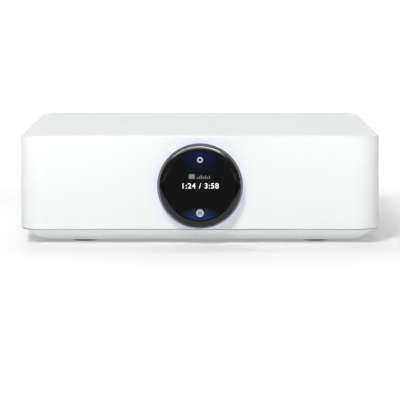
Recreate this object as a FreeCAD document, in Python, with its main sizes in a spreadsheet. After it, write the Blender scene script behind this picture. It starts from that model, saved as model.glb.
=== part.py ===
"""Streaming amplifier: a square white housing with a round display dial on its front and sockets behind.

Millimetres. +X is right seen from the front, +Y runs from the front to the rear and +Z is up. The origin is
on the surface that the feet stand on, under the middle of the housing. The document keeps every driving
dimension in the sheet named Sizes, and each feature is bound to it.
"""

import FreeCAD
import Part
import Sketcher
import math
import os

SIZES = {
    # Housing
    "body_width": 215.0,
    "body_depth": 215.0,
    "body_height": 65.0,
    "corner_radius": 14.0,
    "wall": 2.5,
    "cut_overrun": 0.5,
    "top_wall": 3.0,
    "top_edge_radius": 1.6,
    "bottom_edge_chamfer": 0.5,
    "seam_gap": 0.25,
    # Base tray
    "chamfer_drop": 7.3,
    "chamfer_inset": 13.4,
    "tray_floor": 2.2,
    "tray_side": 4.6,
    "lip_height": 3.5,
    "lip_thickness": 1.5,
    "lip_clearance": 0.2,
    "intake_slot_width": 3.0,
    "intake_slot_length": 50.0,
    "intake_slot_pitch": 9.0,
    "intake_row_pitch": 64.0,
    "intake_row_slots": 9,
    # Feet and the bosses that the housing's screws go into
    "foot_radius": 8.5,
    "foot_drop": 1.2,
    "foot_inset_across": 37.5,
    "foot_inset_along": 25.5,
    "boss_radius": 4.0,
    "boss_inset_across": 18.5,
    "boss_inset_along": 29.5,
    "seat_clearance": 0.05,
    # Circuit boards
    "board_level": 15.4,
    "board_thickness": 1.6,
    "standoff_width": 5.0,
    "board_edge": 5.5,
    "board_side_gap": 5.5,
    "board_margin": 0.5,
    "board_gap": 2.5,
    "main_board_front": 4.0,
    "main_board_rear_gap": 1.8,
    "power_board_left": 8.0,
    "power_board_setback": 23.5,
    "power_board_step": -2.0,
    # Rear panel
    "opening_side_margin": 3.5,
    "opening_bottom": 12.5,
    "opening_top_margin": 8.5,
    "opening_corner": 5.0,
    "panel_clearance": 0.15,
    "panel_recess": 9.0,
    "panel_thickness": 2.2,
    "panel_side": 1.6,
    "panel_inset": 0.3,
    "panel_flange": 3.0,
    "panel_flange_thickness": 2.0,
    "grille_slot_width": 3.0,
    "grille_slot_height": 6.6,
    "grille_margin": 6.9,
    "grille_slots": 25,
    "grille_drop": 6.6,
    # Dial
    "dial_top_margin": 4.4,
    "dial_low_margin": 0.65,
    "dial_taper": 1.1,
    "dial_edge_steps": 3,
    "dial_wall_gap": 2.0,
    "dial_shoulder_drop": 1.3,
    "dial_depth": 7.7,
    "dial_rim_width": 2.4,
    "dial_rebate_wall": 0.7,
    "glass_gap": 0.2,
    "glass_thickness": 1.3,
    "glass_proud": 0.1,
    "display_margin": 1.1,
    "display_thickness": 1.3,
    "holder_thickness": 1.2,
    "neck_wall": 1.6,
    "neck_length": 7.0,
    "hub_wall": 2.5,
    "bearing_clearance": 0.05,
    "sleeve_thickness": 2.4,
    "sleeve_gap": 1.45,
    "web_thickness": 1.5,
    "wall_hole_inset": 5.4,
    "guide_inset": 0.6,
    "guide_thickness": 1.5,
    "guide_overhang": 1.8,
    "sleeve_reach": 1.4,
    "carrier_inset": 2.6,
    "carrier_wall": 1.8,
    "carrier_depth": 7.0,
    "carrier_plate": 1.8,
    "dial_board_thickness": 1.2,
    "lamp_inset": 6.3,
    "lamp_size": 1.4,
    "lamp_height": 1.6,
    "lamp_count": 12,
    "ribbon_side_gap": 1.9,
    "ribbon_thickness": 0.3,
    "ribbon_bend": 2.0,
    "ribbon_setback": 14.5,
    "ribbon_lift": 2.6,
    "ribbon_end": 4.0,
    "ribbon_socket_margin": 2.0,
    "ribbon_socket_depth": 5.0,
    "ribbon_socket_height": 2.4,
    # Speaker terminals
    "terminal_side_gap": 1.0,
    "terminal_gap": 0.45,
    "terminal_level": 31.0,
    "stud_radius": 3.0,
    "stud_head_radius": 4.8,
    "stud_head_thickness": 2.5,
    "banana_radius": 2.0,
    "banana_depth": 13.0,
    "plate_thickness": 2.5,
    "plate_gap": 4.0,
    "plate_rim": 1.65,
    "plate_corner": 4.0,
    "clamp_radius": 5.9,
    "clamp_thickness": 1.2,
    "cap_radius": 6.1,
    "cap_groove": 0.7,
    "cap_grooves": 8,
    "cap_rib_share": 0.6,
    "cap_fit": 0.06,
    "terminal_board_top": 43.0,
    # Mains inlet
    "inlet_side_gap": 2.75,
    "inlet_level": 31.0,
    "inlet_flange_width": 31.0,
    "inlet_flange_height": 25.0,
    "inlet_flange": 2.0,
    "inlet_width": 27.0,
    "inlet_height": 19.8,
    "inlet_depth": 19.0,
    "inlet_mouth_width": 24.0,
    "inlet_mouth_height": 16.4,
    "inlet_mouth_depth": 17.0,
    "inlet_mouth_chamfer": 4.5,
    "blade_width": 2.0,
    "blade_height": 4.0,
    "blade_spacing": 7.0,
    "blade_offset": 2.0,
    "blade_setback": 2.0,
    "blade_tail": 5.0,
    # Network, video and phono sockets
    "socket_gap": 2.0,
    "network_width": 16.0,
    "network_height": 13.5,
    "network_depth": 18.0,
    "network_proud": 0.6,
    "network_mouth_width": 11.8,
    "network_mouth_height": 7.0,
    "network_latch_width": 6.2,
    "network_latch_height": 3.0,
    "network_floor": 1.4,
    "network_mouth_depth": 14.0,
    "contact_pitch": 1.02,
    "contact_width": 0.45,
    "contact_height": 0.6,
    "contact_length": 9.0,
    "video_gap": 2.7,
    "video_width": 15.0,
    "video_height": 5.6,
    "video_depth": 11.5,
    "video_proud": 0.6,
    "video_shell": 0.4,
    "video_lift": 0.3,
    "video_corner": 1.6,
    "video_tongue_width": 11.8,
    "video_tongue_height": 1.1,
    "video_tongue_setback": 1.2,
    "video_tongue_level": 3.1,
    "video_tab_setback": 6.9,
    "video_block": 3.5,
    "phono_column": 7.0,
    "phono_low": 24.0,
    "phono_rise": 14.0,
    "phono_radius": 4.15,
    "phono_wall": 0.45,
    "phono_length": 9.5,
    "phono_floor": 0.8,
    "phono_contact_radius": 1.65,
    "phono_setback": 1.0,
    "phono_block_margin": 1.65,
    "phono_block_height": 27.5,
    "phono_block_depth": 13.0,
    # Reset switch
    "reset_room": 6.0,
    "reset_level": 20.0,
    "reset_hole_radius": 0.8,
    "reset_switch_width": 4.2,
    "reset_switch_height": 5.0,
    "reset_switch_depth": 3.6,
    "reset_button_radius": 1.4,
    "reset_button_length": 1.6,
    "reset_button_root": 1.0,
    "reset_travel": 0.4,
    "reset_gap": 0.4,
    # Heat sink and amplifier stage
    "sink_inset": 4.5,
    "sink_gap": 15.0,
    "sink_coil_gap": 1.5,
    "sink_depth": 46.0,
    "sink_base": 4.0,
    "sink_lift": 2.0,
    "fin_height": 24.0,
    "fin_thickness": 1.8,
    "fin_count": 12,
    "sink_leg": 5.0,
    "chip_width": 12.0,
    "chip_depth": 18.0,
    "chip_height": 1.4,
    "chip_spacing": 32.0,
    "coil_size": 11.0,
    "coil_height": 9.0,
    "coil_pitch": 16.0,
    "coil_rear_gap": 0.8,
    # Power supply
    "can_radius": 9.0,
    "can_height": 34.0,
    "can_side_gap": 1.8,
    "can_front_gap": 12.6,
    "can_spacing": 2.7,
    "transformer_width": 36.0,
    "transformer_depth": 16.0,
    "transformer_height": 30.0,
    "transformer_leg": 6.0,
    "winding_depth": 30.0,
    "choke_width": 20.0,
    "choke_bar": 5.0,
    "choke_height": 12.0,
    "choke_setback": 8.0,
    "fuse_size": 6.0,
    "fuse_setback": 48.0,
    "filter_setback": 34.0,
    "filter_width": 24.0,
    "filter_depth": 9.0,
    "filter_height": 16.0,
    # Radio
    "shield_width": 28.0,
    "shield_depth": 22.0,
    "shield_height": 3.2,
    "shield_inset": 8.0,
    "shield_setback": 16.0,
    "antenna_length": 42.0,
    "antenna_height": 9.0,
    "antenna_thickness": 0.8,
    "antenna_front": -62.0,
    "antenna_level": 46.0,
}

V = FreeCAD.Vector
doc = FreeCAD.newDocument("StreamingAmplifier")
sheet = doc.addObject("Spreadsheet::Sheet", "Sizes")
for row, (alias, value) in enumerate(SIZES.items(), start=1):
    sheet.set(f"A{row}", alias)
    sheet.set(f"B{row}", str(value))
    sheet.setAlias(f"B{row}", alias)
doc.recompute()


class Size:
    """A length: its number, and the expression that binds it to the sheet."""

    def __init__(self, number, text):
        self.number = number
        self.text = text

    def __add__(self, other):
        return Size(self.number + number(other), f"({self.text} + {text(other)})")

    def __sub__(self, other):
        return Size(self.number - number(other), f"({self.text} - {text(other)})")

    def __mul__(self, other):
        return Size(self.number * number(other), f"({self.text} * {text(other)})")

    def __truediv__(self, other):
        return Size(self.number / number(other), f"({self.text} / {text(other)})")

    def __neg__(self):
        return Size(-self.number, f"(-1 * {self.text})")

    def __radd__(self, other):
        return self + other

    def __rsub__(self, other):
        return -self + other

    def __rmul__(self, other):
        return self * other


def number(value):
    """The plain number of a size or of a number."""
    return float(value.number) if isinstance(value, Size) else float(value)


def text(value):
    """The expression of a size or of a number."""
    return value.text if isinstance(value, Size) else f"({float(value):.9f})"


class Sheet:
    """Gives each cell of the sheet as a Size, by its alias."""

    def __getattr__(self, alias):
        return Size(float(sheet.get(alias)), f"Sizes.{alias}")


s = Sheet()

# Planes and places that several pieces share
FRONT = -s.body_depth / 2
REAR = s.body_depth / 2
TRAY_BOTTOM = s.foot_drop
TRAY_FLOOR_TOP = s.foot_drop + s.tray_floor
TRAY_TOP = s.foot_drop + s.chamfer_drop
SHELL_BOTTOM = TRAY_TOP + s.seam_gap
CEILING = s.body_height - s.top_wall
BOARD_TOP = s.board_level + s.board_thickness
FOOT_X = s.body_width / 2 - s.foot_inset_across
FOOT_Y = s.body_depth / 2 - s.foot_inset_along
BOSS_X = s.body_width / 2 - s.boss_inset_across
BOSS_Y = s.body_depth / 2 - s.boss_inset_along

# The dial, from the wall's height inwards
DIAL_RADIUS = (s.body_height - s.dial_top_margin - SHELL_BOTTOM - s.dial_low_margin) / 2
DIAL_HEIGHT = SHELL_BOTTOM + s.dial_low_margin + DIAL_RADIUS
SHOULDER_RADIUS = DIAL_RADIUS - s.dial_taper
RING_BORE = SHOULDER_RADIUS - s.dial_rim_width
REBATE_RADIUS = SHOULDER_RADIUS - s.dial_rebate_wall
GLASS_RADIUS = RING_BORE - s.glass_gap
DISPLAY_RADIUS = GLASS_RADIUS - s.display_margin
GUIDE_RADIUS = DIAL_RADIUS - s.guide_inset
WALL_HOLE_RADIUS = DIAL_RADIUS - s.wall_hole_inset
GUIDE_BORE = WALL_HOLE_RADIUS - s.guide_overhang
SLEEVE_RADIUS = GUIDE_BORE - s.sleeve_gap
SLEEVE_BORE = SLEEVE_RADIUS - s.sleeve_thickness
HUB_RADIUS = SLEEVE_BORE - s.bearing_clearance
NECK_WIDTH = (HUB_RADIUS - s.hub_wall) * math.sqrt(2)
RIBBON_WIDTH = NECK_WIDTH - 2 * (s.neck_wall + s.ribbon_side_gap)
CARRIER_HALF = DIAL_RADIUS - s.carrier_inset
LAMP_CIRCLE = DIAL_RADIUS - s.lamp_inset

# The dial, from the wall forwards
GLASS_BACK = s.dial_depth + s.glass_proud - s.glass_thickness
DISPLAY_BACK = GLASS_BACK - s.display_thickness
HOLDER_BACK = DISPLAY_BACK - s.holder_thickness
WEB_FRONT = HOLDER_BACK - s.glass_gap
WEB_BACK = WEB_FRONT - s.web_thickness
SLEEVE_END = -(s.wall + s.sleeve_reach)

# The rear opening and its panel
OPENING_HALF = s.body_width / 2 - s.corner_radius - s.opening_side_margin
OPENING_TOP = s.body_height - s.opening_top_margin
OPENING_HEIGHT = OPENING_TOP - s.opening_bottom
OPENING_MIDDLE = s.opening_bottom + OPENING_HEIGHT / 2
PANEL_FACE = REAR - s.panel_recess
PANEL_BACK = PANEL_FACE - s.panel_thickness
CLAMP_FACE = s.plate_thickness + s.clamp_thickness
STUD_TIP = s.panel_recess + s.dial_depth + s.glass_proud
GRILLE_PITCH = (2 * (OPENING_HALF - s.grille_margin) - s.grille_slot_width) / (s.grille_slots - 1)
GRILLE_LEVEL = OPENING_TOP - s.grille_drop

# The sockets across the panel, from the inlet towards the speaker terminals. The gaps and the
# rims of the terminals' plates share what the sockets leave of the recess.
TERMINALS = ("left_positive", "left_negative", "right_positive", "right_negative")
RECESS_HALF = OPENING_HALF - s.panel_clearance - s.panel_side
PHONO_HALF = s.phono_column + s.phono_radius + s.phono_block_margin
SOCKET_WIDTHS = s.inlet_flange_width + s.network_width + s.reset_room + s.video_width + 2 * PHONO_HALF
SPARE_WIDTH = 2 * RECESS_HALF - SOCKET_WIDTHS - 2 * len(TERMINALS) * s.cap_radius
SPARE_PARTS = (
    s.inlet_side_gap + s.socket_gap + s.video_gap + s.terminal_gap + s.terminal_side_gap
    + 2 * len(TERMINALS) * s.plate_rim + (len(TERMINALS) - 1) * s.plate_gap
)
SPREAD = SPARE_WIDTH / SPARE_PARTS
INLET_X = RECESS_HALF - s.inlet_side_gap * SPREAD - s.inlet_flange_width / 2
NETWORK_X = INLET_X - (s.inlet_flange_width + s.network_width) / 2 - s.socket_gap * SPREAD
RESET_X = NETWORK_X - (s.network_width + s.reset_room) / 2
VIDEO_X = NETWORK_X - (s.network_width + s.video_width) / 2 - s.reset_room
PHONO_X = VIDEO_X - s.video_width / 2 - s.video_gap * SPREAD - PHONO_HALF
PLATE_MARGIN = s.cap_radius + s.plate_rim * SPREAD
TERMINAL_FIRST = PHONO_X - PHONO_HALF - s.terminal_gap * SPREAD - PLATE_MARGIN
TERMINAL_PITCH = 2 * PLATE_MARGIN + s.plate_gap * SPREAD

# The boards and what stands on them
MAIN_LEFT = s.board_side_gap - OPENING_HALF
MAIN_RIGHT = NETWORK_X + s.network_width / 2 + s.board_margin
MAIN_REAR = PANEL_BACK - s.main_board_rear_gap
POWER_FRONT = FRONT + s.power_board_setback
POWER_TONGUE = MAIN_RIGHT + s.board_gap
POWER_RIGHT = OPENING_HALF - s.board_side_gap
SHIELD_LEFT = MAIN_RIGHT - s.shield_width - s.shield_inset
SINK_LEFT = MAIN_LEFT + s.sink_inset
SINK_WIDTH = SHIELD_LEFT - s.sink_gap - SINK_LEFT
COIL_FRONT = PANEL_BACK - s.phono_block_depth - s.coil_rear_gap - s.coil_size
SINK_FRONT = COIL_FRONT - s.sink_coil_gap - s.sink_depth

PHONO_JACKS = {
    "white": (PHONO_X - s.phono_column, s.phono_low + s.phono_rise),
    "red": (PHONO_X - s.phono_column, s.phono_low),
    "black": (PHONO_X + s.phono_column, s.phono_low),
}
CORNERS = ((-1, -1), (1, -1), (-1, 1), (1, 1))

nodes = []


def node(thing, label):
    """Registers a finished object as one named piece of the product."""
    thing.Label = label
    nodes.append(thing)
    return thing


def bind(thing, prop, value):
    """Sets a property to a size and ties it to the sheet."""
    if isinstance(value, Size):
        thing.setExpression(prop, value.text)
    elif "." not in prop:
        setattr(thing, prop, value)


def place(thing, x=0.0, y=0.0, z=0.0, axis=V(0, 0, 1), angle=0.0):
    """Puts an object at a place that stays tied to the sheet."""
    turn = FreeCAD.Rotation(axis, angle)
    thing.Placement = FreeCAD.Placement(V(number(x), number(y), number(z)), turn)
    for letter, value in zip("xyz", (x, y, z)):
        bind(thing, f"Placement.Base.{letter}", value)


def face_front(thing, x, y, z):
    """Turns a piece whose own axis is Z so that the axis points out of the front."""
    place(thing, x, y, z, V(1, 0, 0), 90)


def face_rear(thing, x, y, z):
    """Turns a piece whose own axis is Z so that the axis points out of the rear."""
    place(thing, x, y, z, V(1, 0, 0), -90)


def new_body(label, several=False):
    """An empty body. One that holds several separate solids says so."""
    body = doc.addObject("PartDesign::Body", label)
    body.Label = label
    body.AllowCompound = several
    return body


def sketch_on(body, plane, level=0.0):
    """A sketch on one of the body's own planes, moved along the plane's normal by level."""
    sketch = body.newObject("Sketcher::SketchObject", "Outline")
    origin = next(f for f in body.Origin.OriginFeatures if f.Role == plane)
    sketch.AttachmentSupport = [(origin, "")]
    sketch.MapMode = "FlatFace"
    sketch.AttachmentOffset = FreeCAD.Placement(V(0, 0, number(level)), FreeCAD.Rotation())
    bind(sketch, "AttachmentOffset.Base.z", level)
    return sketch


def flat_sketch(body, level):
    """A sketch that lies level at a height. It pads upwards."""
    return sketch_on(body, "XY_Plane", level)


def upright_sketch(body, depth):
    """A sketch that stands across the product at a depth. It pads towards the front."""
    return sketch_on(body, "XZ_Plane", -depth)


def constrain(sketch, rules):
    """Adds constraints, each a tuple of the constraint's parts whose last one may be a size."""
    made = []
    for rule in rules:
        parts = [number(p) if isinstance(p, Size) else p for p in rule]
        made.append(Sketcher.Constraint(*parts))
    first = sketch.ConstraintCount
    sketch.addConstraint(made)
    for index, rule in enumerate(rules, start=first):
        if isinstance(rule[-1], Size):
            sketch.setExpression(f"Constraints[{index}]", rule[-1].text)


def at(shape, point, x, y):
    """The two rules that hold one point of a shape at a place measured from the sketch's origin."""
    return [
        ("DistanceX", -1, 1, shape, point, x if isinstance(x, Size) else float(x)),
        ("DistanceY", -1, 1, shape, point, y if isinstance(y, Size) else float(y)),
    ]


def polygon(sketch, points):
    """A closed outline of straight lines, each corner tied to its own sizes."""
    corners = [V(number(x), number(y), 0) for x, y in points]
    ends = corners[1:] + corners[:1]
    lines = [sketch.addGeometry(Part.LineSegment(a, b), False) for a, b in zip(corners, ends)]
    rules = [("Coincident", a, 2, b, 1) for a, b in zip(lines, lines[1:] + lines[:1])]
    for line, (x, y) in zip(lines, points):
        rules += at(line, 1, x, y)
    constrain(sketch, rules)


def rectangle(sketch, left, right, low, high):
    """A plain rectangle between two sides and two levels."""
    polygon(sketch, [(left, low), (right, low), (right, high), (left, high)])


def circle(sketch, x, y, radius):
    """A circle with its centre and radius tied to sizes."""
    shape = Part.Circle(V(number(x), number(y), 0), V(0, 0, 1), number(radius))
    made = sketch.addGeometry(shape, False)
    constrain(sketch, at(made, 3, x, y) + [("Radius", made, radius)])


def many_sided(sketch, x, y, radius, sides, around=False):
    """A regular outline with its corners on a circle, or with its flats on it where it goes around one."""
    reach = radius / math.cos(math.pi / sides) if around else radius
    angles = [2 * math.pi * (side + 0.5) / sides for side in range(sides)]
    polygon(sketch, [(x + reach * math.cos(angle), y + reach * math.sin(angle)) for angle in angles])


def cut_rectangle(sketch, left, right, low, high, cut):
    """A rectangle with its four corners cut off at 45 degrees."""
    polygon(
        sketch,
        [(left + cut, low), (right - cut, low), (right, low + cut), (right, high - cut), (right - cut, high),
         (left + cut, high), (left, high - cut), (left, low + cut)],
    )


def rounded_rectangle(sketch, x, y, width, height, radius):
    """A rectangle about (x, y) with four equal corner arcs."""
    across = width / 2 - radius
    along = height / 2 - radius
    corners = ((1, -1), (1, 1), (-1, 1), (-1, -1))
    centres = [(x + across * side, y + along * end) for side, end in corners]
    arcs = []
    for quarter, (cx, cy) in enumerate(centres):
        start = (quarter - 1) * math.pi / 2
        ring = Part.Circle(V(number(cx), number(cy), 0), V(0, 0, 1), number(radius))
        arcs.append(sketch.addGeometry(Part.ArcOfCircle(ring, start, start + math.pi / 2), False))
    rules = []
    for arc, (cx, cy) in zip(arcs, centres):
        rules += at(arc, 3, cx, cy) + [("Radius", arc, radius)]
    for arc, after in zip(arcs, arcs[1:] + arcs[:1]):
        ends = sketch.getPoint(arc, 2), sketch.getPoint(after, 1)
        line = sketch.addGeometry(Part.LineSegment(*ends), False)
        rules += [("Tangent", arc, 2, line, 1), ("Tangent", line, 2, after, 1)]
    constrain(sketch, rules)


def pad(body, sketch, length, backwards=False):
    """Adds material from a sketch along its normal, or against it."""
    made = body.newObject("PartDesign::Pad", "Pad")
    made.Profile = sketch
    bind(made, "Length", length)
    made.Reversed = backwards
    doc.recompute()
    return made


def pocket(body, sketch, depth, forwards=False):
    """Cuts from a sketch against its normal, or along it."""
    made = body.newObject("PartDesign::Pocket", "Pocket")
    made.Profile = sketch
    bind(made, "Length", depth)
    made.Reversed = forwards
    doc.recompute()
    return made


def loft(body, sketches):
    """A straight-sided solid between sketches."""
    made = body.newObject("PartDesign::AdditiveLoft", "Loft")
    made.Profile = sketches[0]
    made.Sections = sketches[1:]
    made.Ruled = True
    doc.recompute()
    return made


def revolve(body, profile):
    """A turned solid about the body's Z axis, from corners given as radius and height."""
    sketch = sketch_on(body, "XZ_Plane")
    polygon(sketch, profile)
    made = body.newObject("PartDesign::Revolution", "Revolution")
    made.Profile = sketch
    made.ReferenceAxis = (sketch, ["V_Axis"])
    made.Angle = 360.0
    doc.recompute()
    return made


def dress(body, kind, size, wanted):
    """Fillets or chamfers the edges of the body's tip that the test picks out."""
    base = body.Tip
    names = [f"Edge{i}" for i, edge in enumerate(base.Shape.Edges, start=1) if wanted(edge)]
    made = body.newObject(f"PartDesign::{kind}", kind)
    made.Base = (base, names)
    bind(made, "Radius" if kind == "Fillet" else "Size", size)
    doc.recompute()
    return made


def level_edge(height):
    """A test for edges that lie wholly at one height."""
    level = number(height)
    return lambda edge: abs(edge.BoundBox.ZMin - level) < 1e-4 and abs(edge.BoundBox.ZMax - level) < 1e-4


def repeat(body, features, axis, step, count):
    """Repeats features along an origin axis of the body, at a fixed step."""
    made = body.newObject("PartDesign::LinearPattern", "LinearPattern")
    made.Originals = features
    line = next(f for f in body.Origin.OriginFeatures if f.Role == axis)
    made.Direction = (line, [""])
    made.Mode = "Spacing"
    bind(made, "Offset", step)
    bind(made, "Occurrences", count)
    body.Tip = made
    doc.recompute()
    return made


def block(left, front, low, width, depth, height, name="Block"):
    """A plain box from its lowest corner and its three sizes."""
    box = doc.addObject("Part::Box", name)
    bind(box, "Length", width)
    bind(box, "Width", depth)
    bind(box, "Height", height)
    place(box, left, front, low)
    return box


def group(label, members):
    """Identical pieces that share one name, as separate solids."""
    made = doc.addObject("Part::Compound", label)
    made.Links = members
    doc.recompute()
    return node(made, label)


def upper_shell():
    """The one-piece top and walls, with the dial's hole, the rear opening and the screw bosses."""
    body = new_body("upper_shell")
    outline = flat_sketch(body, SHELL_BOTTOM)
    rounded_rectangle(outline, 0, 0, s.body_width, s.body_depth, s.corner_radius)
    pad(body, outline, s.body_height - SHELL_BOTTOM)
    dress(body, "Fillet", s.top_edge_radius, level_edge(s.body_height))
    dress(body, "Chamfer", s.bottom_edge_chamfer, level_edge(SHELL_BOTTOM))
    cavity = flat_sketch(body, SHELL_BOTTOM)
    inner = (s.body_width - 2 * s.wall, s.body_depth - 2 * s.wall, s.corner_radius - s.wall)
    rounded_rectangle(cavity, 0, 0, *inner)
    pocket(body, cavity, CEILING - SHELL_BOTTOM, forwards=True)
    hole = upright_sketch(body, FRONT)
    circle(hole, 0, DIAL_HEIGHT, WALL_HOLE_RADIUS)
    pocket(body, hole, s.wall + s.cut_overrun)
    opening = upright_sketch(body, REAR)
    rounded_rectangle(opening, 0, OPENING_MIDDLE, 2 * OPENING_HALF, OPENING_HEIGHT, s.opening_corner)
    pocket(body, opening, s.wall + s.cut_overrun, forwards=True)
    bosses = flat_sketch(body, TRAY_FLOOR_TOP)
    for across, along in CORNERS:
        many_sided(bosses, BOSS_X * across, BOSS_Y * along, s.boss_radius, 8)
    pad(body, bosses, CEILING - TRAY_FLOOR_TOP + s.top_wall / 2)
    return node(body, "upper_shell")


def slope_inset(level):
    """How far the tray's sloping side is inside the housing's outline at a level."""
    return s.chamfer_inset * (TRAY_TOP - level) / s.chamfer_drop


def tray_outline(body, level):
    """A sketch of the tray's outline at a level of its sloping side."""
    inset = slope_inset(level)
    sketch = flat_sketch(body, level)
    width, depth = s.body_width - 2 * inset, s.body_depth - 2 * inset
    rounded_rectangle(sketch, 0, 0, width, depth, s.corner_radius - inset)
    return sketch


def base_tray():
    """The lower housing: sloping sides, a lip inside the shell, standoffs and the air intake."""
    body = new_body("base_tray")
    loft(body, [tray_outline(body, TRAY_BOTTOM), tray_outline(body, TRAY_TOP)])
    cavity = flat_sketch(body, TRAY_FLOOR_TOP)
    inset = slope_inset(TRAY_FLOOR_TOP) + s.tray_side
    across, along = s.body_width / 2 - inset, s.body_depth / 2 - inset
    rectangle(cavity, -across, across, -along, along)
    pocket(body, cavity, TRAY_TOP - TRAY_FLOOR_TOP, forwards=True)
    lip = flat_sketch(body, TRAY_TOP - s.tray_floor / 2)
    for inset in (s.wall + s.lip_clearance, s.wall + s.lip_clearance + s.lip_thickness):
        across, along = s.body_width / 2 - inset, s.body_depth / 2 - inset
        cut_rectangle(lip, -across, across, -along, along, s.corner_radius - inset)
    pad(body, lip, s.lip_height + s.tray_floor / 2)
    posts = flat_sketch(body, TRAY_FLOOR_TOP - s.tray_floor / 2)
    half = s.standoff_width / 2
    for x, y in standoff_places():
        rectangle(posts, x - half, x + half, y - half, y + half)
    pad(body, posts, s.board_level - TRAY_FLOOR_TOP + s.tray_floor / 2)
    slots = flat_sketch(body, TRAY_BOTTOM)
    first = -(s.intake_row_slots - 1) * s.intake_slot_pitch / 2
    half_width, half_length = s.intake_slot_width / 2, s.intake_slot_length / 2
    for line in (-0.5, 0.5):
        middle = s.intake_row_pitch * line
        rectangle(slots, first - half_width, first + half_width, middle - half_length, middle + half_length)
    cut = pocket(body, slots, s.tray_floor + s.cut_overrun, forwards=True)
    repeat(body, [cut], "X_Axis", s.intake_slot_pitch, s.intake_row_slots)
    return node(body, "base_tray")


def standoff_places():
    """Where the two circuit boards stand on the tray."""
    edge = s.board_edge
    left, right = MAIN_LEFT + edge, MAIN_RIGHT - edge
    low, high = s.power_board_left + edge, POWER_RIGHT - edge
    return [
        (left, s.main_board_front + edge),
        (right, s.main_board_front + edge),
        (left, MAIN_REAR - 2 * edge),
        (right, MAIN_REAR - 6 * edge),
        (low, POWER_FRONT + edge),
        (high, POWER_FRONT + edge),
        (low, s.power_board_step - edge),
        (high, s.power_board_step + edge),
    ]


def feet():
    """Four rubber feet under the tray, with a bevelled rim."""
    made = []
    for across, along in CORNERS:
        body = new_body("Foot")
        outline = flat_sketch(body, 0)
        many_sided(outline, FOOT_X * across, FOOT_Y * along, s.foot_radius, 16)
        pad(body, outline, s.foot_drop)
        dress(body, "Chamfer", s.foot_drop / 2, level_edge(0))
        made.append(body)
    group("feet", made)


def board(label, outline):
    """A circuit board on the standoffs, from its outline."""
    body = new_body(label)
    sketch = flat_sketch(body, s.board_level)
    polygon(sketch, outline)
    pad(body, sketch, s.board_thickness)
    return node(body, label)


def circuit_boards():
    """The main board behind, and the L-shaped power board that reaches the inlet."""
    rear, front = MAIN_REAR, s.main_board_front
    board("main_board", [(MAIN_LEFT, front), (MAIN_RIGHT, front), (MAIN_RIGHT, rear), (MAIN_LEFT, rear)])
    left, right, tongue = s.power_board_left, POWER_RIGHT, POWER_TONGUE
    front, step = POWER_FRONT, s.power_board_step
    outline = [(left, front), (right, front), (right, rear), (tongue, rear), (tongue, step), (left, step)]
    board("power_board", outline)


def recess_outline(sketch, inset):
    """The rear recess's rounded outline, this far inside the outside of its walls."""
    inset = s.panel_clearance + inset
    width, height = 2 * (OPENING_HALF - inset), OPENING_HEIGHT - 2 * inset
    rounded_rectangle(sketch, 0, OPENING_MIDDLE, width, height, s.opening_corner - inset)


def rear_frame():
    """The recess in the rear: four walls that run in from the opening, and a flange behind it."""
    body = new_body("rear_frame")
    clear = s.panel_clearance
    walls = upright_sketch(body, REAR - s.panel_inset)
    recess_outline(walls, 0)
    recess_outline(walls, s.panel_side)
    pad(body, walls, s.panel_recess - s.panel_inset)
    flange = upright_sketch(body, REAR - s.wall)
    side, top = OPENING_HALF + s.panel_flange, OPENING_TOP + s.panel_flange
    inside = OPENING_HALF - clear - s.panel_side / 2
    low, high = s.opening_bottom + clear, OPENING_TOP - clear - s.panel_side / 2
    polygon(
        flange,
        [(-side, low), (-inside, low), (-inside, high), (inside, high), (inside, low), (side, low),
         (side, top), (-side, top)],
    )
    pad(body, flange, s.panel_flange_thickness)
    return node(body, "rear_frame")


def rear_panel():
    """The flat panel that closes the recess, with the sockets' cut-outs and a row of outlet slots."""
    body = new_body("rear_panel")
    clear = s.panel_clearance
    outline = upright_sketch(body, PANEL_FACE)
    across, middle = OPENING_HALF - clear, OPENING_MIDDLE
    along = OPENING_HEIGHT / 2 - clear
    cut = s.opening_corner - clear - s.panel_side
    cut_rectangle(outline, -across, across, middle - along, middle + along, cut)
    pad(body, outline, s.panel_thickness)
    cuts = upright_sketch(body, PANEL_FACE)
    for x, low, width, height in (
        (INLET_X, s.inlet_level - s.inlet_height / 2, s.inlet_width, s.inlet_height),
        (NETWORK_X, BOARD_TOP, s.network_width, s.network_height),
        (VIDEO_X, BOARD_TOP + s.video_lift, s.video_width, s.video_height),
    ):
        half = width / 2 + clear
        rectangle(cuts, x - half, x + half, low - clear, low + height + clear)
    for x, z in PHONO_JACKS.values():
        many_sided(cuts, x, z, s.phono_radius - s.phono_wall, 16, around=True)
    for x in terminal_places():
        many_sided(cuts, x, s.terminal_level, s.stud_radius + s.seat_clearance, 12, around=True)
    many_sided(cuts, RESET_X, s.reset_level, s.reset_hole_radius, 8)
    pocket(body, cuts, s.panel_thickness, forwards=True)
    slot = upright_sketch(body, PANEL_FACE)
    first = -(s.grille_slots - 1) * GRILLE_PITCH / 2
    half_width, half_height = s.grille_slot_width / 2, s.grille_slot_height / 2
    low, high = GRILLE_LEVEL - half_height, GRILLE_LEVEL + half_height
    rectangle(slot, first - half_width, first + half_width, low, high)
    cut = pocket(body, slot, s.panel_thickness, forwards=True)
    repeat(body, [cut], "X_Axis", GRILLE_PITCH, s.grille_slots)
    return node(body, "rear_panel")


def terminal_places():
    """Where the four speaker terminals stand across the panel, the left pair nearest the middle."""
    return [TERMINAL_FIRST - TERMINAL_PITCH * index for index in range(len(TERMINALS))]


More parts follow.
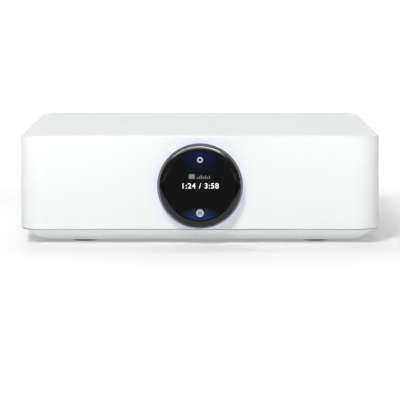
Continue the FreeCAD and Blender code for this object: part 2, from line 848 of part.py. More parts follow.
def volume_ring():
    """The turning rim of the dial: a rounded front, a glossy tapering side and a rebate for its web."""
    body = new_body("volume_ring")
    edge, steps = s.dial_rim_width, int(s.dial_edge_steps.number)
    rounding = []
    for step in range(steps + 1):
        angle = math.pi / 2 * (1 - step / steps)
        out = SHOULDER_RADIUS - edge * (1 - math.cos(angle))
        forward = s.dial_depth - edge * (1 - math.sin(angle))
        rounding.append((out, forward))
    profile = [(RING_BORE, WEB_FRONT)] + rounding + [
        (SHOULDER_RADIUS, s.dial_depth - s.dial_shoulder_drop - edge),
        (DIAL_RADIUS, s.dial_wall_gap),
        (REBATE_RADIUS, s.dial_wall_gap),
        (REBATE_RADIUS, WEB_FRONT),
    ]
    revolve(body, profile)
    face_front(body, 0, FRONT, DIAL_HEIGHT)
    return node(body, "volume_ring")


def ring_sleeve():
    """The web and bearing sleeve that carry the volume ring on the hub."""
    body = new_body("ring_sleeve")
    web = upright_sketch(body, FRONT - WEB_BACK)
    many_sided(web, 0, DIAL_HEIGHT, REBATE_RADIUS - s.bearing_clearance, 24)
    pad(body, web, s.web_thickness)
    tube = upright_sketch(body, FRONT - SLEEVE_END)
    many_sided(tube, 0, DIAL_HEIGHT, SLEEVE_RADIUS, 16)
    pad(body, tube, WEB_FRONT - SLEEVE_END)
    bore = upright_sketch(body, FRONT - WEB_FRONT)
    circle(bore, 0, DIAL_HEIGHT, SLEEVE_BORE)
    pocket(body, bore, WEB_FRONT - SLEEVE_END)
    return node(body, "ring_sleeve")


def light_ring():
    """The clear ring behind the volume ring that spreads the lamps' light over the wall."""
    body = new_body("light_ring")
    outline = upright_sketch(body, FRONT)
    many_sided(outline, 0, DIAL_HEIGHT, GUIDE_RADIUS, 48)
    many_sided(outline, 0, DIAL_HEIGHT, GUIDE_BORE, 16, around=True)
    pad(body, outline, s.guide_thickness)
    return node(body, "light_ring")


def dial_glass():
    """The round glass in front of the display."""
    body = new_body("dial_glass")
    outline = upright_sketch(body, FRONT - GLASS_BACK)
    circle(outline, 0, DIAL_HEIGHT, GLASS_RADIUS)
    pad(body, outline, s.glass_thickness)
    return node(body, "dial_glass")


def display_panel():
    """The display under the glass."""
    body = new_body("display_panel")
    outline = upright_sketch(body, FRONT - DISPLAY_BACK)
    many_sided(outline, 0, DIAL_HEIGHT, DISPLAY_RADIUS, 16)
    pad(body, outline, s.display_thickness)
    return node(body, "display_panel")


def dial_carrier():
    """The square cup behind the front wall, with the hub that the ring turns on."""
    body = new_body("dial_carrier")
    half = CARRIER_HALF
    low, high = DIAL_HEIGHT - half, DIAL_HEIGHT + half
    back = FRONT + s.wall + s.carrier_depth
    cup = upright_sketch(body, back + s.carrier_plate)
    rectangle(cup, -half, half, low, high)
    pad(body, cup, s.carrier_depth + s.carrier_plate)
    room = upright_sketch(body, FRONT + s.wall)
    inset = s.carrier_wall
    rectangle(room, -half + inset, half - inset, low + inset, high - inset)
    pocket(body, room, s.carrier_depth)
    hub = upright_sketch(body, back + s.carrier_plate / 2)
    circle(hub, 0, DIAL_HEIGHT, HUB_RADIUS)
    pad(body, hub, s.carrier_plate / 2 + s.carrier_depth + s.wall + HOLDER_BACK)
    bore = upright_sketch(body, FRONT - HOLDER_BACK)
    side = NECK_WIDTH / 2 + s.seat_clearance
    rectangle(bore, -side, side, DIAL_HEIGHT - side, DIAL_HEIGHT + side)
    pocket(body, bore, HOLDER_BACK + s.wall + s.carrier_depth + s.carrier_plate)
    return node(body, "dial_carrier")


def display_holder():
    """The plate behind the display. Its square neck plugs into the hub, so that it can't turn."""
    body = new_body("display_holder")
    middle, side = DIAL_HEIGHT, NECK_WIDTH / 2
    plate = upright_sketch(body, FRONT - HOLDER_BACK)
    many_sided(plate, 0, middle, GLASS_RADIUS, 16)
    pad(body, plate, s.holder_thickness)
    neck = upright_sketch(body, FRONT - HOLDER_BACK + s.neck_length)
    rectangle(neck, -side, side, middle - side, middle + side)
    pad(body, neck, s.neck_length + s.holder_thickness / 2)
    bore = upright_sketch(body, FRONT - DISPLAY_BACK)
    side = side - s.neck_wall
    rectangle(bore, -side, side, middle - side, middle + side)
    pocket(body, bore, s.holder_thickness + s.neck_length)
    return node(body, "display_holder")


def dial_board():
    """The board in the carrier, and the lamps on it that shine through the wall's hole."""
    body = new_body("dial_board")
    half = CARRIER_HALF - s.carrier_wall - s.glass_gap
    back = FRONT + s.wall + s.carrier_depth
    outline = upright_sketch(body, back)
    rectangle(outline, -half, half, DIAL_HEIGHT - half, DIAL_HEIGHT + half)
    pad(body, outline, s.dial_board_thickness)
    bore = upright_sketch(body, back)
    many_sided(bore, 0, DIAL_HEIGHT, HUB_RADIUS + s.glass_gap, 12, around=True)
    pocket(body, bore, s.dial_board_thickness, forwards=True)
    node(body, "dial_board")
    lamps = []
    depth = back - s.dial_board_thickness - s.lamp_height
    side = s.lamp_size / 2
    for index in range(int(s.lamp_count.number)):
        angle = 2 * math.pi * index / s.lamp_count.number
        x, z = LAMP_CIRCLE * math.cos(angle), DIAL_HEIGHT + LAMP_CIRCLE * math.sin(angle)
        lamps.append(block(x - side, depth, z - side, s.lamp_size, s.lamp_height, s.lamp_size, "Lamp"))
    group("ring_lamps", lamps)


def strip(route, bend, thickness):
    """The side outline of a flat strip along level and upright runs, with its bends cut at 45 degrees."""
    ways = []
    for (y, z), (next_y, next_z) in zip(route, route[1:]):
        across, rise = number(next_y - y), number(next_z - z)
        ways.append((1, 0) if abs(across) > abs(rise) else (0, 1 if rise > 0 else -1))
    sides = []
    for reach in (thickness / 2, -(thickness / 2)):
        points = [(route[0][0] - reach * ways[0][1], route[0][1] + reach * ways[0][0])]
        for (y, z), into, out in zip(route[1:], ways, ways[1:]):
            lean = math.tan(math.pi / 8) * (into[0] * out[1] - into[1] * out[0])
            for way, step in ((into, -1), (out, 1)):
                along = bend * step + reach * lean * step
                points.append((y + along * way[0] - reach * way[1], z + along * way[1] + reach * way[0]))
        points.append((route[-1][0] - reach * ways[-1][1], route[-1][1] + reach * ways[-1][0]))
        sides.append(points)
    return sides[0] + sides[1][::-1]


def display_ribbon():
    """The flat cable from the display, back through the hub and under the boards to its socket."""
    level = BOARD_TOP + s.ribbon_socket_height / 2
    drop, low = FRONT + s.ribbon_setback, TRAY_FLOOR_TOP + s.ribbon_lift
    rise = s.main_board_front - 3 * s.ribbon_bend
    route = [
        (FRONT - DISPLAY_BACK, DIAL_HEIGHT),
        (drop, DIAL_HEIGHT),
        (drop, low),
        (rise, low),
        (rise, level),
        (s.main_board_front + s.ribbon_end, level),
    ]
    body = new_body("display_ribbon")
    side = sketch_on(body, "YZ_Plane", -(RIBBON_WIDTH / 2))
    polygon(side, strip(route, s.ribbon_bend, s.ribbon_thickness))
    pad(body, side, RIBBON_WIDTH)
    node(body, "display_ribbon")
    socket = new_body("ribbon_socket")
    outline = flat_sketch(socket, BOARD_TOP)
    half = RIBBON_WIDTH / 2 + s.ribbon_socket_margin
    near = s.main_board_front + s.ribbon_end / 2
    rectangle(outline, -half, half, near, near + s.ribbon_socket_depth)
    pad(socket, outline, s.ribbon_socket_height)
    slit = upright_sketch(socket, near)
    gap, side = s.ribbon_thickness / 2, RIBBON_WIDTH / 2
    rectangle(slit, -side, side, level - gap, level + gap)
    pocket(socket, slit, s.ribbon_end / 2)
    node(socket, "ribbon_socket")


def speaker_terminals():
    """Four binding posts: insulating plates, studs with a plug bore, and turning caps on clamp washers."""
    places = terminal_places()
    group("terminal_plates", [terminal_plate(places[0:2]), terminal_plate(places[2:4])])
    group("terminal_studs", [stud(x) for x in places])
    for name, x in zip(TERMINALS, places):
        clamp_washer(name, x)
        terminal_cap(name, x)
    terminal_board()


def terminal_plate(pair):
    """The insulating plate under one pair of terminals."""
    body = new_body("Plate")
    right, left = pair
    outline = upright_sketch(body, PANEL_FACE + s.plate_thickness)
    margin, middle = PLATE_MARGIN, s.terminal_level
    cut_rectangle(outline, left - margin, right + margin, middle - margin, middle + margin, s.plate_corner)
    for x in pair:
        many_sided(outline, x, middle, s.stud_radius + s.seat_clearance, 12, around=True)
    pad(body, outline, s.plate_thickness)
    return body


def stud(x):
    """The metal stud of one terminal: plug bore outside, hexagonal head inside the panel."""
    body = new_body("Stud")
    back = -s.panel_thickness - s.stud_head_thickness
    shaft = flat_sketch(body, back)
    many_sided(shaft, 0, 0, s.stud_radius, 12)
    pad(body, shaft, STUD_TIP - back)
    head = flat_sketch(body, back)
    many_sided(head, 0, 0, s.stud_head_radius, 6)
    pad(body, head, s.stud_head_thickness)
    bore = flat_sketch(body, STUD_TIP)
    circle(bore, 0, 0, s.banana_radius)
    pocket(body, bore, s.banana_depth)
    face_rear(body, x, PANEL_FACE, s.terminal_level)
    return body


def clamp_washer(name, x):
    """The loose eight-sided washer that rides ahead of a cap and grips the wire."""
    body = new_body("Washer")
    outline = flat_sketch(body, s.plate_thickness)
    many_sided(outline, 0, 0, s.clamp_radius, 8)
    many_sided(outline, 0, 0, s.stud_radius + s.cap_fit, 12, around=True)
    pad(body, outline, s.clamp_thickness)
    face_rear(body, x, PANEL_FACE, s.terminal_level)
    return node(body, f"clamp_washer_{name}")


def terminal_cap(name, x):
    """One grooved terminal cap, open along its bore so that a plug can enter the stud."""
    body = new_body("Cap")
    grip = flat_sketch(body, CLAMP_FACE)
    count = int(s.cap_grooves.number)
    rib = s.cap_rib_share.number
    tooth = ((0, s.cap_radius), (rib, s.cap_radius), ((rib + 1) / 2, s.cap_radius - s.cap_groove))
    corners = []
    for index in range(count):
        for part, radius in tooth:
            angle = 2 * math.pi * (index + part) / count
            corners.append((radius * math.cos(angle), radius * math.sin(angle)))
    polygon(grip, corners)
    many_sided(grip, 0, 0, s.stud_radius + s.cap_fit, 12, around=True)
    pad(body, grip, STUD_TIP - CLAMP_FACE)
    face_rear(body, x, PANEL_FACE, s.terminal_level)
    return node(body, f"terminal_cap_{name}")


def terminal_board():
    """The upright board behind the studs' heads, soldered to the main board."""
    body = new_body("terminal_board")
    places = terminal_places()
    rear = PANEL_BACK - s.stud_head_thickness
    outline = upright_sketch(body, rear)
    edge = s.stud_head_radius
    rectangle(outline, places[-1] - edge, places[0] + edge, BOARD_TOP, s.terminal_board_top)
    pad(body, outline, s.board_thickness)
    return node(body, "terminal_board")


def mains_inlet():
    """The three-blade mains inlet with its flange and chamfered mouth."""
    body = new_body("mains_inlet")
    x, z = INLET_X, s.inlet_level
    outer = PANEL_FACE + s.inlet_flange
    flange = upright_sketch(body, outer)
    wide, tall = s.inlet_flange_width / 2, s.inlet_flange_height / 2
    cut_rectangle(flange, x - wide, x + wide, z - tall, z + tall, s.inlet_flange)
    pad(body, flange, s.inlet_flange)
    case = upright_sketch(body, PANEL_FACE)
    half_width, half_height = s.inlet_width / 2, s.inlet_height / 2
    rectangle(case, x - half_width, x + half_width, z - half_height, z + half_height)
    pad(body, case, s.inlet_depth)
    mouth = upright_sketch(body, outer)
    side, half, cut = s.inlet_mouth_width / 2, s.inlet_mouth_height / 2, s.inlet_mouth_chamfer
    polygon(
        mouth,
        [(x - side, z - half), (x + side, z - half), (x + side, z + half - cut), (x + side - cut, z + half),
         (x - side + cut, z + half), (x - side, z + half - cut)],
    )
    pocket(body, mouth, s.inlet_mouth_depth, forwards=True)
    foot = upright_sketch(body, PANEL_BACK - s.panel_clearance)
    half_width, low = s.inlet_width / 2, z - s.inlet_height / 2
    rectangle(foot, x - half_width, x + half_width, BOARD_TOP, low + s.inlet_flange / 2)
    pad(body, foot, s.inlet_depth / 2)
    slits = upright_sketch(body, outer - s.inlet_mouth_depth)
    for bx, bz in blade_places():
        wide, tall = s.blade_width / 2, s.blade_height / 2
        rectangle(slits, bx - wide, bx + wide, bz - tall, bz + tall)
    pocket(body, slits, s.inlet_depth, forwards=True)
    node(body, "mains_inlet")
    blades = new_body("inlet_blades", several=True)
    ends = upright_sketch(blades, outer - s.blade_setback)
    for bx, bz in blade_places():
        wide, tall = s.blade_width / 2, s.blade_height / 2
        rectangle(ends, bx - wide, bx + wide, bz - tall, bz + tall)
    pad(blades, ends, s.inlet_depth + s.blade_tail)
    node(blades, "inlet_blades")


def blade_places():
    """The centres of the inlet's line, earth and neutral blades."""
    x, z = INLET_X, s.inlet_level
    return [
        (x - s.blade_spacing, z - s.blade_offset),
        (x, z + s.blade_offset),
        (x + s.blade_spacing, z - s.blade_offset),
    ]


def network_socket():
    """The network jack: a shielded case with a stepped mouth and eight spring contacts."""
    body = new_body("network_socket")
    x, low = NETWORK_X, BOARD_TOP
    outer = PANEL_FACE + s.network_proud
    case = upright_sketch(body, outer)
    half = s.network_width / 2
    rectangle(case, x - half, x + half, low, low + s.network_height)
    pad(body, case, s.network_depth)
    mouth = upright_sketch(body, outer)
    floor = low + s.network_floor
    step = floor + s.network_latch_height
    top = step + s.network_mouth_height
    wide, narrow = s.network_mouth_width / 2, s.network_latch_width / 2
    polygon(
        mouth,
        [(x - narrow, floor), (x + narrow, floor), (x + narrow, step), (x + wide, step), (x + wide, top),
         (x - wide, top), (x - wide, step), (x - narrow, step)],
    )
    pocket(body, mouth, s.network_mouth_depth, forwards=True)
    node(body, "network_socket")
    contacts = []
    rear = outer - s.network_mouth_depth
    for index in range(8):
        left = x + s.contact_pitch * (index - 3.5) - s.contact_width / 2
        size = (s.contact_width, s.contact_length, s.contact_height)
        contacts.append(block(left, rear, top - s.contact_height, *size, "Contact"))
    group("network_contacts", contacts)


def video_socket():
    """The video socket: a thin metal shell with lower corners cut off, and the tongue inside it."""
    body = new_body("video_socket")
    x, low = VIDEO_X, BOARD_TOP + s.video_lift
    outer = PANEL_FACE + s.video_proud

    def outline(sketch, inset):
        half = s.video_width / 2 - inset
        bottom, top = low + inset, low + s.video_height - inset
        cut = s.video_corner - inset * (2 - math.sqrt(2))
        polygon(
            sketch,
            [(x - half + cut, bottom), (x + half - cut, bottom), (x + half, bottom + cut), (x + half, top),
             (x - half, top), (x - half, bottom + cut)],
        )

    case = upright_sketch(body, outer)
    outline(case, 0)
    pad(body, case, s.video_depth)
    mouth = upright_sketch(body, outer)
    outline(mouth, s.video_shell)
    pocket(body, mouth, s.video_depth - s.video_shell, forwards=True)
    tabs = upright_sketch(body, outer - s.video_tab_setback)
    for side in (-1, 1):
        near = x + (s.video_width / 2 - s.video_shell) * side
        far = x + (s.video_width / 2 - s.video_corner - s.video_shell) * side
        left, right = (near, far) if side < 0 else (far, near)
        rectangle(tabs, left, right, BOARD_TOP, low + s.video_corner)
    pad(body, tabs, s.video_shell)
    node(body, "video_socket")
    tongue = new_body("video_tongue")
    root = upright_sketch(tongue, outer - s.video_depth + s.video_block)
    outline(root, s.video_shell + s.seat_clearance)
    pad(tongue, root, s.video_block - s.video_shell)
    blade = upright_sketch(tongue, outer - s.video_tongue_setback)
    half, middle = s.video_tongue_width / 2, low + s.video_tongue_level
    rise = s.video_tongue_height / 2
    rectangle(blade, x - half, x + half, middle - rise, middle + rise)
    pad(tongue, blade, s.video_depth - s.video_tongue_setback - s.video_block)
    node(tongue, "video_tongue")


def phono_sockets():
    """The phono block behind the panel, with three jacks: metal shells and coloured cores."""
    body = new_body("phono_block")
    front = upright_sketch(body, PANEL_BACK)
    left, right = PHONO_X - PHONO_HALF, PHONO_X + PHONO_HALF
    rectangle(front, left, right, BOARD_TOP, BOARD_TOP + s.phono_block_height)
    pad(body, front, s.phono_block_depth)
    node(body, "phono_block")
    shells = []
    for colour, (x, z) in PHONO_JACKS.items():
        shells.append(phono_shell(x, z))
        phono_core(colour, x, z)
    group("phono_shells", shells)


def phono_shell(x, z):
    """The metal tube of one phono jack, seated on the panel."""
    body = new_body("PhonoShell")
    outline = flat_sketch(body, 0)
    circle(outline, 0, 0, s.phono_radius)
    many_sided(outline, 0, 0, s.phono_radius - s.phono_wall, 16, around=True)
    pad(body, outline, s.phono_length)
    face_rear(body, x, PANEL_FACE, z)
    return body


def phono_core(colour, x, z):
    """The coloured insulating core of one phono jack, with the centre contact's bore."""
    body = new_body("PhonoCore")
    length = s.phono_length - s.phono_setback
    outline = flat_sketch(body, -s.panel_thickness)
    many_sided(outline, 0, 0, s.phono_radius - s.phono_wall - s.seat_clearance, 16)
    pad(body, outline, s.panel_thickness + length)
    bore = flat_sketch(body, length)
    circle(bore, 0, 0, s.phono_contact_radius)
    pocket(body, bore, length - s.phono_floor)
    face_rear(body, x, PANEL_FACE, z)
    return node(body, f"phono_core_{colour}")


def reset_switch():
    """The small reset switch behind its pinhole: a case on the main board and the button that travels."""
    body = new_body("reset_switch")
    front = PANEL_BACK - s.reset_gap - s.reset_button_length
    half = s.reset_switch_width / 2
    case = upright_sketch(body, front)
    rectangle(case, RESET_X - half, RESET_X + half, BOARD_TOP, BOARD_TOP + s.reset_switch_height)
    pad(body, case, s.reset_switch_depth)
    bore = upright_sketch(body, front)
    many_sided(bore, RESET_X, s.reset_level, s.reset_button_radius + s.seat_clearance, 12, around=True)
    pocket(body, bore, s.reset_button_root + s.reset_travel + s.seat_clearance, forwards=True)
    node(body, "reset_switch")
    button = new_body("reset_button")
    outline = upright_sketch(button, front + s.reset_button_length)
    many_sided(outline, RESET_X, s.reset_level, s.reset_button_radius, 12)
    pad(button, outline, s.reset_button_length + s.reset_button_root)
    node(button, "reset_button")


def amplifier_stage():
    """The finned heat sink over two amplifier chips on pads, and the four output coils."""
    body = new_body("heat_sink")
    left, right = SINK_LEFT, SINK_LEFT + SINK_WIDTH
    front, rear = SINK_FRONT, SINK_FRONT + s.sink_depth
    low = BOARD_TOP + s.sink_lift
    base = flat_sketch(body, low)
    rectangle(base, left, right, front, rear)
    pad(body, base, s.sink_base)
    legs = flat_sketch(body, BOARD_TOP)
    for x in (left, right - s.sink_leg):
        for y in (front, rear - s.sink_leg):
            rectangle(legs, x, x + s.sink_leg, y, y + s.sink_leg)
    pad(body, legs, s.sink_lift)
    fin = flat_sketch(body, low + s.sink_base)
    rectangle(fin, left, left + s.fin_thickness, front, rear)
    blade = pad(body, fin, s.fin_height)
    repeat(body, [blade], "X_Axis", (SINK_WIDTH - s.fin_thickness) / (s.fin_count - 1), s.fin_count)
    node(body, "heat_sink")
    middle = (left + right) / 2
    chips, pads = [], []
    for side in (-1, 1):
        x = middle + s.chip_spacing / 2 * side - s.chip_width / 2
        y = front + (s.sink_depth - s.chip_depth) / 2
        chips.append(block(x, y, BOARD_TOP, s.chip_width, s.chip_depth, s.chip_height, "Chip"))
        gap = s.sink_lift - s.chip_height
        pads.append(block(x, y, BOARD_TOP + s.chip_height, s.chip_width, s.chip_depth, gap, "Pad"))
    group("amplifier_chips", chips)
    group("thermal_pads", pads)
    coils = []
    for index in range(4):
        x = left + s.coil_pitch * index + s.sink_leg
        coils.append(block(x, COIL_FRONT, BOARD_TOP, s.coil_size, s.coil_size, s.coil_height, "Coil"))
    group("output_coils", coils)


def power_supply():
    """The power board's large pieces: transformer, smoothing capacitors and mains filter."""
    transformer()
    cans = []
    x = s.power_board_left + s.can_side_gap + s.can_radius
    for row in (0, 1):
        can = new_body("Can")
        outline = flat_sketch(can, BOARD_TOP)
        y = POWER_FRONT + s.can_front_gap + s.can_radius + (2 * s.can_radius + s.can_spacing) * row
        many_sided(outline, x, y, s.can_radius, 12)
        pad(can, outline, s.can_height)
        cans.append(can)
    group("smoothing_capacitors", cans)
    middle = (POWER_TONGUE + POWER_RIGHT) / 2
    choke = new_body("filter_choke")
    ring = flat_sketch(choke, BOARD_TOP)
    start = s.power_board_step + s.choke_setback
    for inset in (0.0, s.choke_bar):
        half = s.choke_width / 2 - inset
        rectangle(ring, middle - half, middle + half, start + inset, start + s.choke_width - inset)
    pad(choke, ring, s.choke_height)
    node(choke, "filter_choke")
    left = middle - s.filter_width / 2
    near = s.power_board_step + s.filter_setback
    capacitor = block(left, near, BOARD_TOP, s.filter_width, s.filter_depth, s.filter_height)
    node(capacitor, "filter_capacitor")
    near = s.power_board_step + s.fuse_setback
    fuse = block(left, near, BOARD_TOP, s.filter_width, s.fuse_size, s.fuse_size)
    node(fuse, "mains_fuse")


def transformer():
    """The transformer: a core with two windows, and the winding round its middle leg."""
    x = (s.power_board_left + POWER_RIGHT) / 2 + s.can_radius
    y = (POWER_FRONT + s.power_board_step) / 2
    low, top = BOARD_TOP, BOARD_TOP + s.transformer_height
    half, leg = s.transformer_width / 2, s.transformer_leg
    core = new_body("transformer_core")
    rear = y + s.transformer_depth / 2
    outline = upright_sketch(core, rear)
    rectangle(outline, x - half, x + half, low, top)
    rectangle(outline, x - half + leg, x - leg, low + leg, top - leg)
    rectangle(outline, x + leg, x + half - leg, low + leg, top - leg)
    pad(core, outline, s.transformer_depth)
    node(core, "transformer_core")
    winding = new_body("transformer_winding")
    gap = s.panel_clearance
    level = flat_sketch(winding, low + leg + gap)
    reach = s.winding_depth / 2
    rectangle(level, x - half + leg + gap, x + half - leg - gap, y - reach, y + reach)
    inner = s.transformer_depth / 2 + gap
    rectangle(level, x - leg - gap, x + leg + gap, y - inner, y + inner)
    pad(winding, level, s.transformer_height - 2 * (leg + gap))
    node(winding, "transformer_winding")


def radio():
    """The shield over the radio and processor, and the two antennas stuck to the side walls."""
    body = new_body("processor_shield")
    front = s.main_board_front + s.shield_setback
    outline = flat_sketch(body, BOARD_TOP)
    rectangle(outline, SHIELD_LEFT, SHIELD_LEFT + s.shield_width, front, front + s.shield_depth)
    pad(body, outline, s.shield_height)
    node(body, "processor_shield")
    reach = s.body_width / 2 - s.wall
    size = (s.antenna_thickness, s.antenna_length, s.antenna_height)
    lefts = (-reach, reach - s.antenna_thickness)
    group("antennas", [block(x, s.antenna_front, s.antenna_level, *size, "Antenna") for x in lefts])


def build():
    """Makes every piece, in the order in which the product would be put together."""
    upper_shell()
    base_tray()
    feet()
    circuit_boards()
    rear_frame()
    rear_panel()
    light_ring()
    volume_ring()
    ring_sleeve()
    dial_carrier()
    dial_board()
    display_holder()
    display_panel()
    dial_glass()
    display_ribbon()
    speaker_terminals()
    mains_inlet()
    network_socket()
    video_socket()
    phono_sockets()
    reset_switch()
    amplifier_stage()
    power_supply()
    radio()


def check_and_write():
    """Stops on any failed feature or bad shape, then writes each piece to its own file."""
    doc.recompute()
    failed = [o.Label for o in doc.Objects if set(o.State) & {"Invalid", "Error"}]
    bad = [n.Label for n in nodes if n.Shape.isNull() or not n.Shape.isValid() or not n.Shape.Solids]
    if failed or bad:
        raise SystemExit(f"failed features: {failed}; bad shapes: {bad}")
    os.makedirs("parts", exist_ok=True)
    for piece in nodes:
        piece.Shape.exportStep(f"parts/{piece.Label}.step")
    print(f"{len(nodes)} pieces written")


build()
check_and_write()
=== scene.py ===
"""Streaming amplifier: looks. Metres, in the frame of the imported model."""
import math

import bmesh
import bpy
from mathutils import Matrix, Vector


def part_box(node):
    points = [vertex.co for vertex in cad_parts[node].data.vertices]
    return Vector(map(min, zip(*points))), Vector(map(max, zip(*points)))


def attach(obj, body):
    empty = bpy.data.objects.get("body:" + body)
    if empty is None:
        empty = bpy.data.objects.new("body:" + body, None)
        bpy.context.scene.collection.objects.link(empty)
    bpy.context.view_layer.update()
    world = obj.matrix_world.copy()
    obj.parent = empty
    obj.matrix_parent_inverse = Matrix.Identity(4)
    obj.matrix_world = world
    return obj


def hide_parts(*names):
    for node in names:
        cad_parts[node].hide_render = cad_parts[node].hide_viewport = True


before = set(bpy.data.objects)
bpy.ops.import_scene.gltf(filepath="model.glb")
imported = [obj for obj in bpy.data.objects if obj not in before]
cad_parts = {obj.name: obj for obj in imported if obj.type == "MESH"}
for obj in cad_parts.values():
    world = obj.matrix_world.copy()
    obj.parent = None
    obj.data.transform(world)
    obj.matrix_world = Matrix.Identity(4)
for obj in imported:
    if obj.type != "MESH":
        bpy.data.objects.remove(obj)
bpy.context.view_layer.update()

MM = 0.001

# Places that the pieces below share, in metres
RING_LOW, RING_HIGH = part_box("volume_ring")
GLASS_LOW, GLASS_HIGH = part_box("dial_glass")
DIAL_Z = (RING_LOW.z + RING_HIGH.z) / 2
WALL_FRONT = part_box("upper_shell")[0].y
PANEL_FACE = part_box("terminal_plates")[0].y

# The glass stands back a hair from its face in the CAD model, and the signs on it lie in between
SIGN_FACE = GLASS_LOW.y
GLASS_FACE = SIGN_FACE + 0.03 * MM

# The dial's sizes in millimetres: radii, the ring's heights over the wall, and how far up the signs sit
RING_BORE = 22.05
RING_EDGE = (RING_HIGH.x - RING_LOW.x) / 2 / MM - 0.1
RING_FOOT = (WALL_FRONT - RING_HIGH.y) / MM
RING_CREST = (WALL_FRONT - RING_LOW.y) / MM - 0.2
GLASS_WINDOW = 20.85
GLASS_EDGE = GLASS_HIGH.x / MM
SIGN_LIFT = 0.5

# Strengths: of the world all round, overhead and behind, and of the floor's painted glow near by and far off
WORLD_EVEN, WORLD_TOP, WORLD_BACK = 0.12, 0.2, 0.9
FLOOR_NEAR, FLOOR_FAR = 0.165, 0.72

# The studio: each light is a name, place, size, power and the kinds of surface that it shows on
SOFTBOXES = (
    ("light_top", (-0.1, 0.8, 1.5), (0.9, 0.4), 8.5, "both"),
    ("light_key", (-0.42, -1.15, 1.2), (0.4, 0.3), 13.5, "diffuse"),
    ("light_low", (0.25, -2.3, 0.14), (1.6, 0.2), 12.2, "diffuse"),
    ("light_gloss", (-0.2, -0.75, 1.45), (2.4, 0.6), 95.0, "gloss"),
    ("light_gloss_low", (-0.1, -1.15, 1.1), (2.2, 0.5), 12.0, "gloss"),
)
AIM = Vector((0.0, -0.1, 0.03))

# The camera: lens and film width in millimetres, place in metres, tilt from straight down in degrees
LENS, FILM = 201.96, 36.0
CAMERA_PLACE = (0.0, -1.4375, 0.16365)
CAMERA_TILT = 84.111


# Node helpers

class Nodes:
    """Builds one material's nodes with few words."""

    def __init__(self, name):
        self.material = bpy.data.materials.new(name)
        self.material.use_nodes = True
        self.tree = self.material.node_tree
        self.tree.nodes.clear()
        output = self.tree.nodes.new("ShaderNodeOutputMaterial")
        self.shader = self.tree.nodes.new("ShaderNodeBsdfPrincipled")
        self.link(self.shader.outputs["BSDF"], output.inputs["Surface"])
        self.place = self.tree.nodes.new("ShaderNodeTexCoord").outputs["Object"]

    def link(self, source, target):
        self.tree.links.new(source, target)

    def feed(self, socket, value):
        """Puts a number or a colour on a socket, or links a source to it."""
        if isinstance(value, (int, float)):
            socket.default_value = value
        elif isinstance(value, tuple):
            socket.default_value = (*value, 1.0)
        else:
            self.link(value, socket)

    def noise(self, scale, detail=2.0, stretch=None):
        node = self.tree.nodes.new("ShaderNodeTexNoise")
        node.inputs["Scale"].default_value = scale
        node.inputs["Detail"].default_value = detail
        place = self.place
        if stretch:
            mapping = self.tree.nodes.new("ShaderNodeMapping")
            mapping.inputs["Scale"].default_value = stretch
            self.link(place, mapping.inputs["Vector"])
            place = mapping.outputs["Vector"]
        self.link(place, node.inputs["Vector"])
        return node.outputs["Fac"]

    def ramp(self, source, stops, smooth=True):
        node = self.tree.nodes.new("ShaderNodeValToRGB")
        band = node.color_ramp
        band.interpolation = "EASE" if smooth else "LINEAR"
        while len(band.elements) < len(stops):
            band.elements.new(0.5)
        for element, (position, colour) in zip(band.elements, stops):
            element.position = position
            element.color = (*colour, 1.0)
        self.link(source, node.inputs["Fac"])
        return node.outputs["Color"]

    def math(self, operation, first, second=None):
        node = self.tree.nodes.new("ShaderNodeMath")
        node.operation = operation
        self.feed(node.inputs[0], first)
        if second is not None:
            self.feed(node.inputs[1], second)
        return node.outputs["Value"]

    def distance(self, across, rise):
        """The straight distance over two ways at a right angle."""
        squares = self.math("MULTIPLY", across, across), self.math("MULTIPLY", rise, rise)
        return self.math("SQRT", self.math("ADD", *squares))

    def axes(self):
        node = self.tree.nodes.new("ShaderNodeSeparateXYZ")
        self.link(self.place, node.inputs["Vector"])
        return node.outputs["X"], node.outputs["Y"], node.outputs["Z"]

    def spread(self, source, low, high):
        node = self.tree.nodes.new("ShaderNodeMapRange")
        node.inputs["To Min"].default_value = low
        node.inputs["To Max"].default_value = high
        self.link(source, node.inputs["Value"])
        return node.outputs["Result"]

    def mix(self, share, first, second):
        node = self.tree.nodes.new("ShaderNodeMix")
        node.data_type = "RGBA"
        for socket, value in ((node.inputs[0], share), (node.inputs[6], first), (node.inputs[7], second)):
            self.feed(socket, value)
        return node.outputs[2]

    def bump(self, height, strength, distance):
        node = self.tree.nodes.new("ShaderNodeBump")
        node.inputs["Strength"].default_value = strength
        node.inputs["Distance"].default_value = distance
        self.link(height, node.inputs["Height"])
        return node.outputs["Normal"]

    def set(self, **values):
        """Numbers and colours go on the shader's own sockets, sources are linked to them."""
        for word, value in values.items():
            self.feed(self.shader.inputs[SOCKETS[word]], value)


SOCKETS = {
    "colour": "Base Color",
    "metal": "Metallic",
    "rough": "Roughness",
    "specular": "Specular IOR Level",
    "coat": "Coat Weight",
    "coat_rough": "Coat Roughness",
    "glow": "Emission Color",
    "glow_strength": "Emission Strength",
    "normal": "Normal",
    "sheen": "Sheen Weight",
}


def shaded(colour, shade):
    """A colour, darker by a share."""
    return tuple(c * (1.0 - shade) for c in colour)


def moulded(name, colour, rough, grain, depth=0.02 * MM, shade=0.04, specular=0.5, coat=0.0):
    """Moulded plastic: a fine eroded grain, faint flow marks in the colour and uneven polish."""
    n = Nodes(name)
    n.set(
        colour=n.mix(n.noise(38.0, 3.0), shaded(colour, shade), colour),
        rough=n.spread(n.noise(420.0, 2.0), rough - 0.05, rough + 0.05),
        specular=specular,
        coat=coat,
        coat_rough=0.05,
        normal=n.bump(n.noise(grain, 3.0), 0.35, depth),
    )
    return n.material


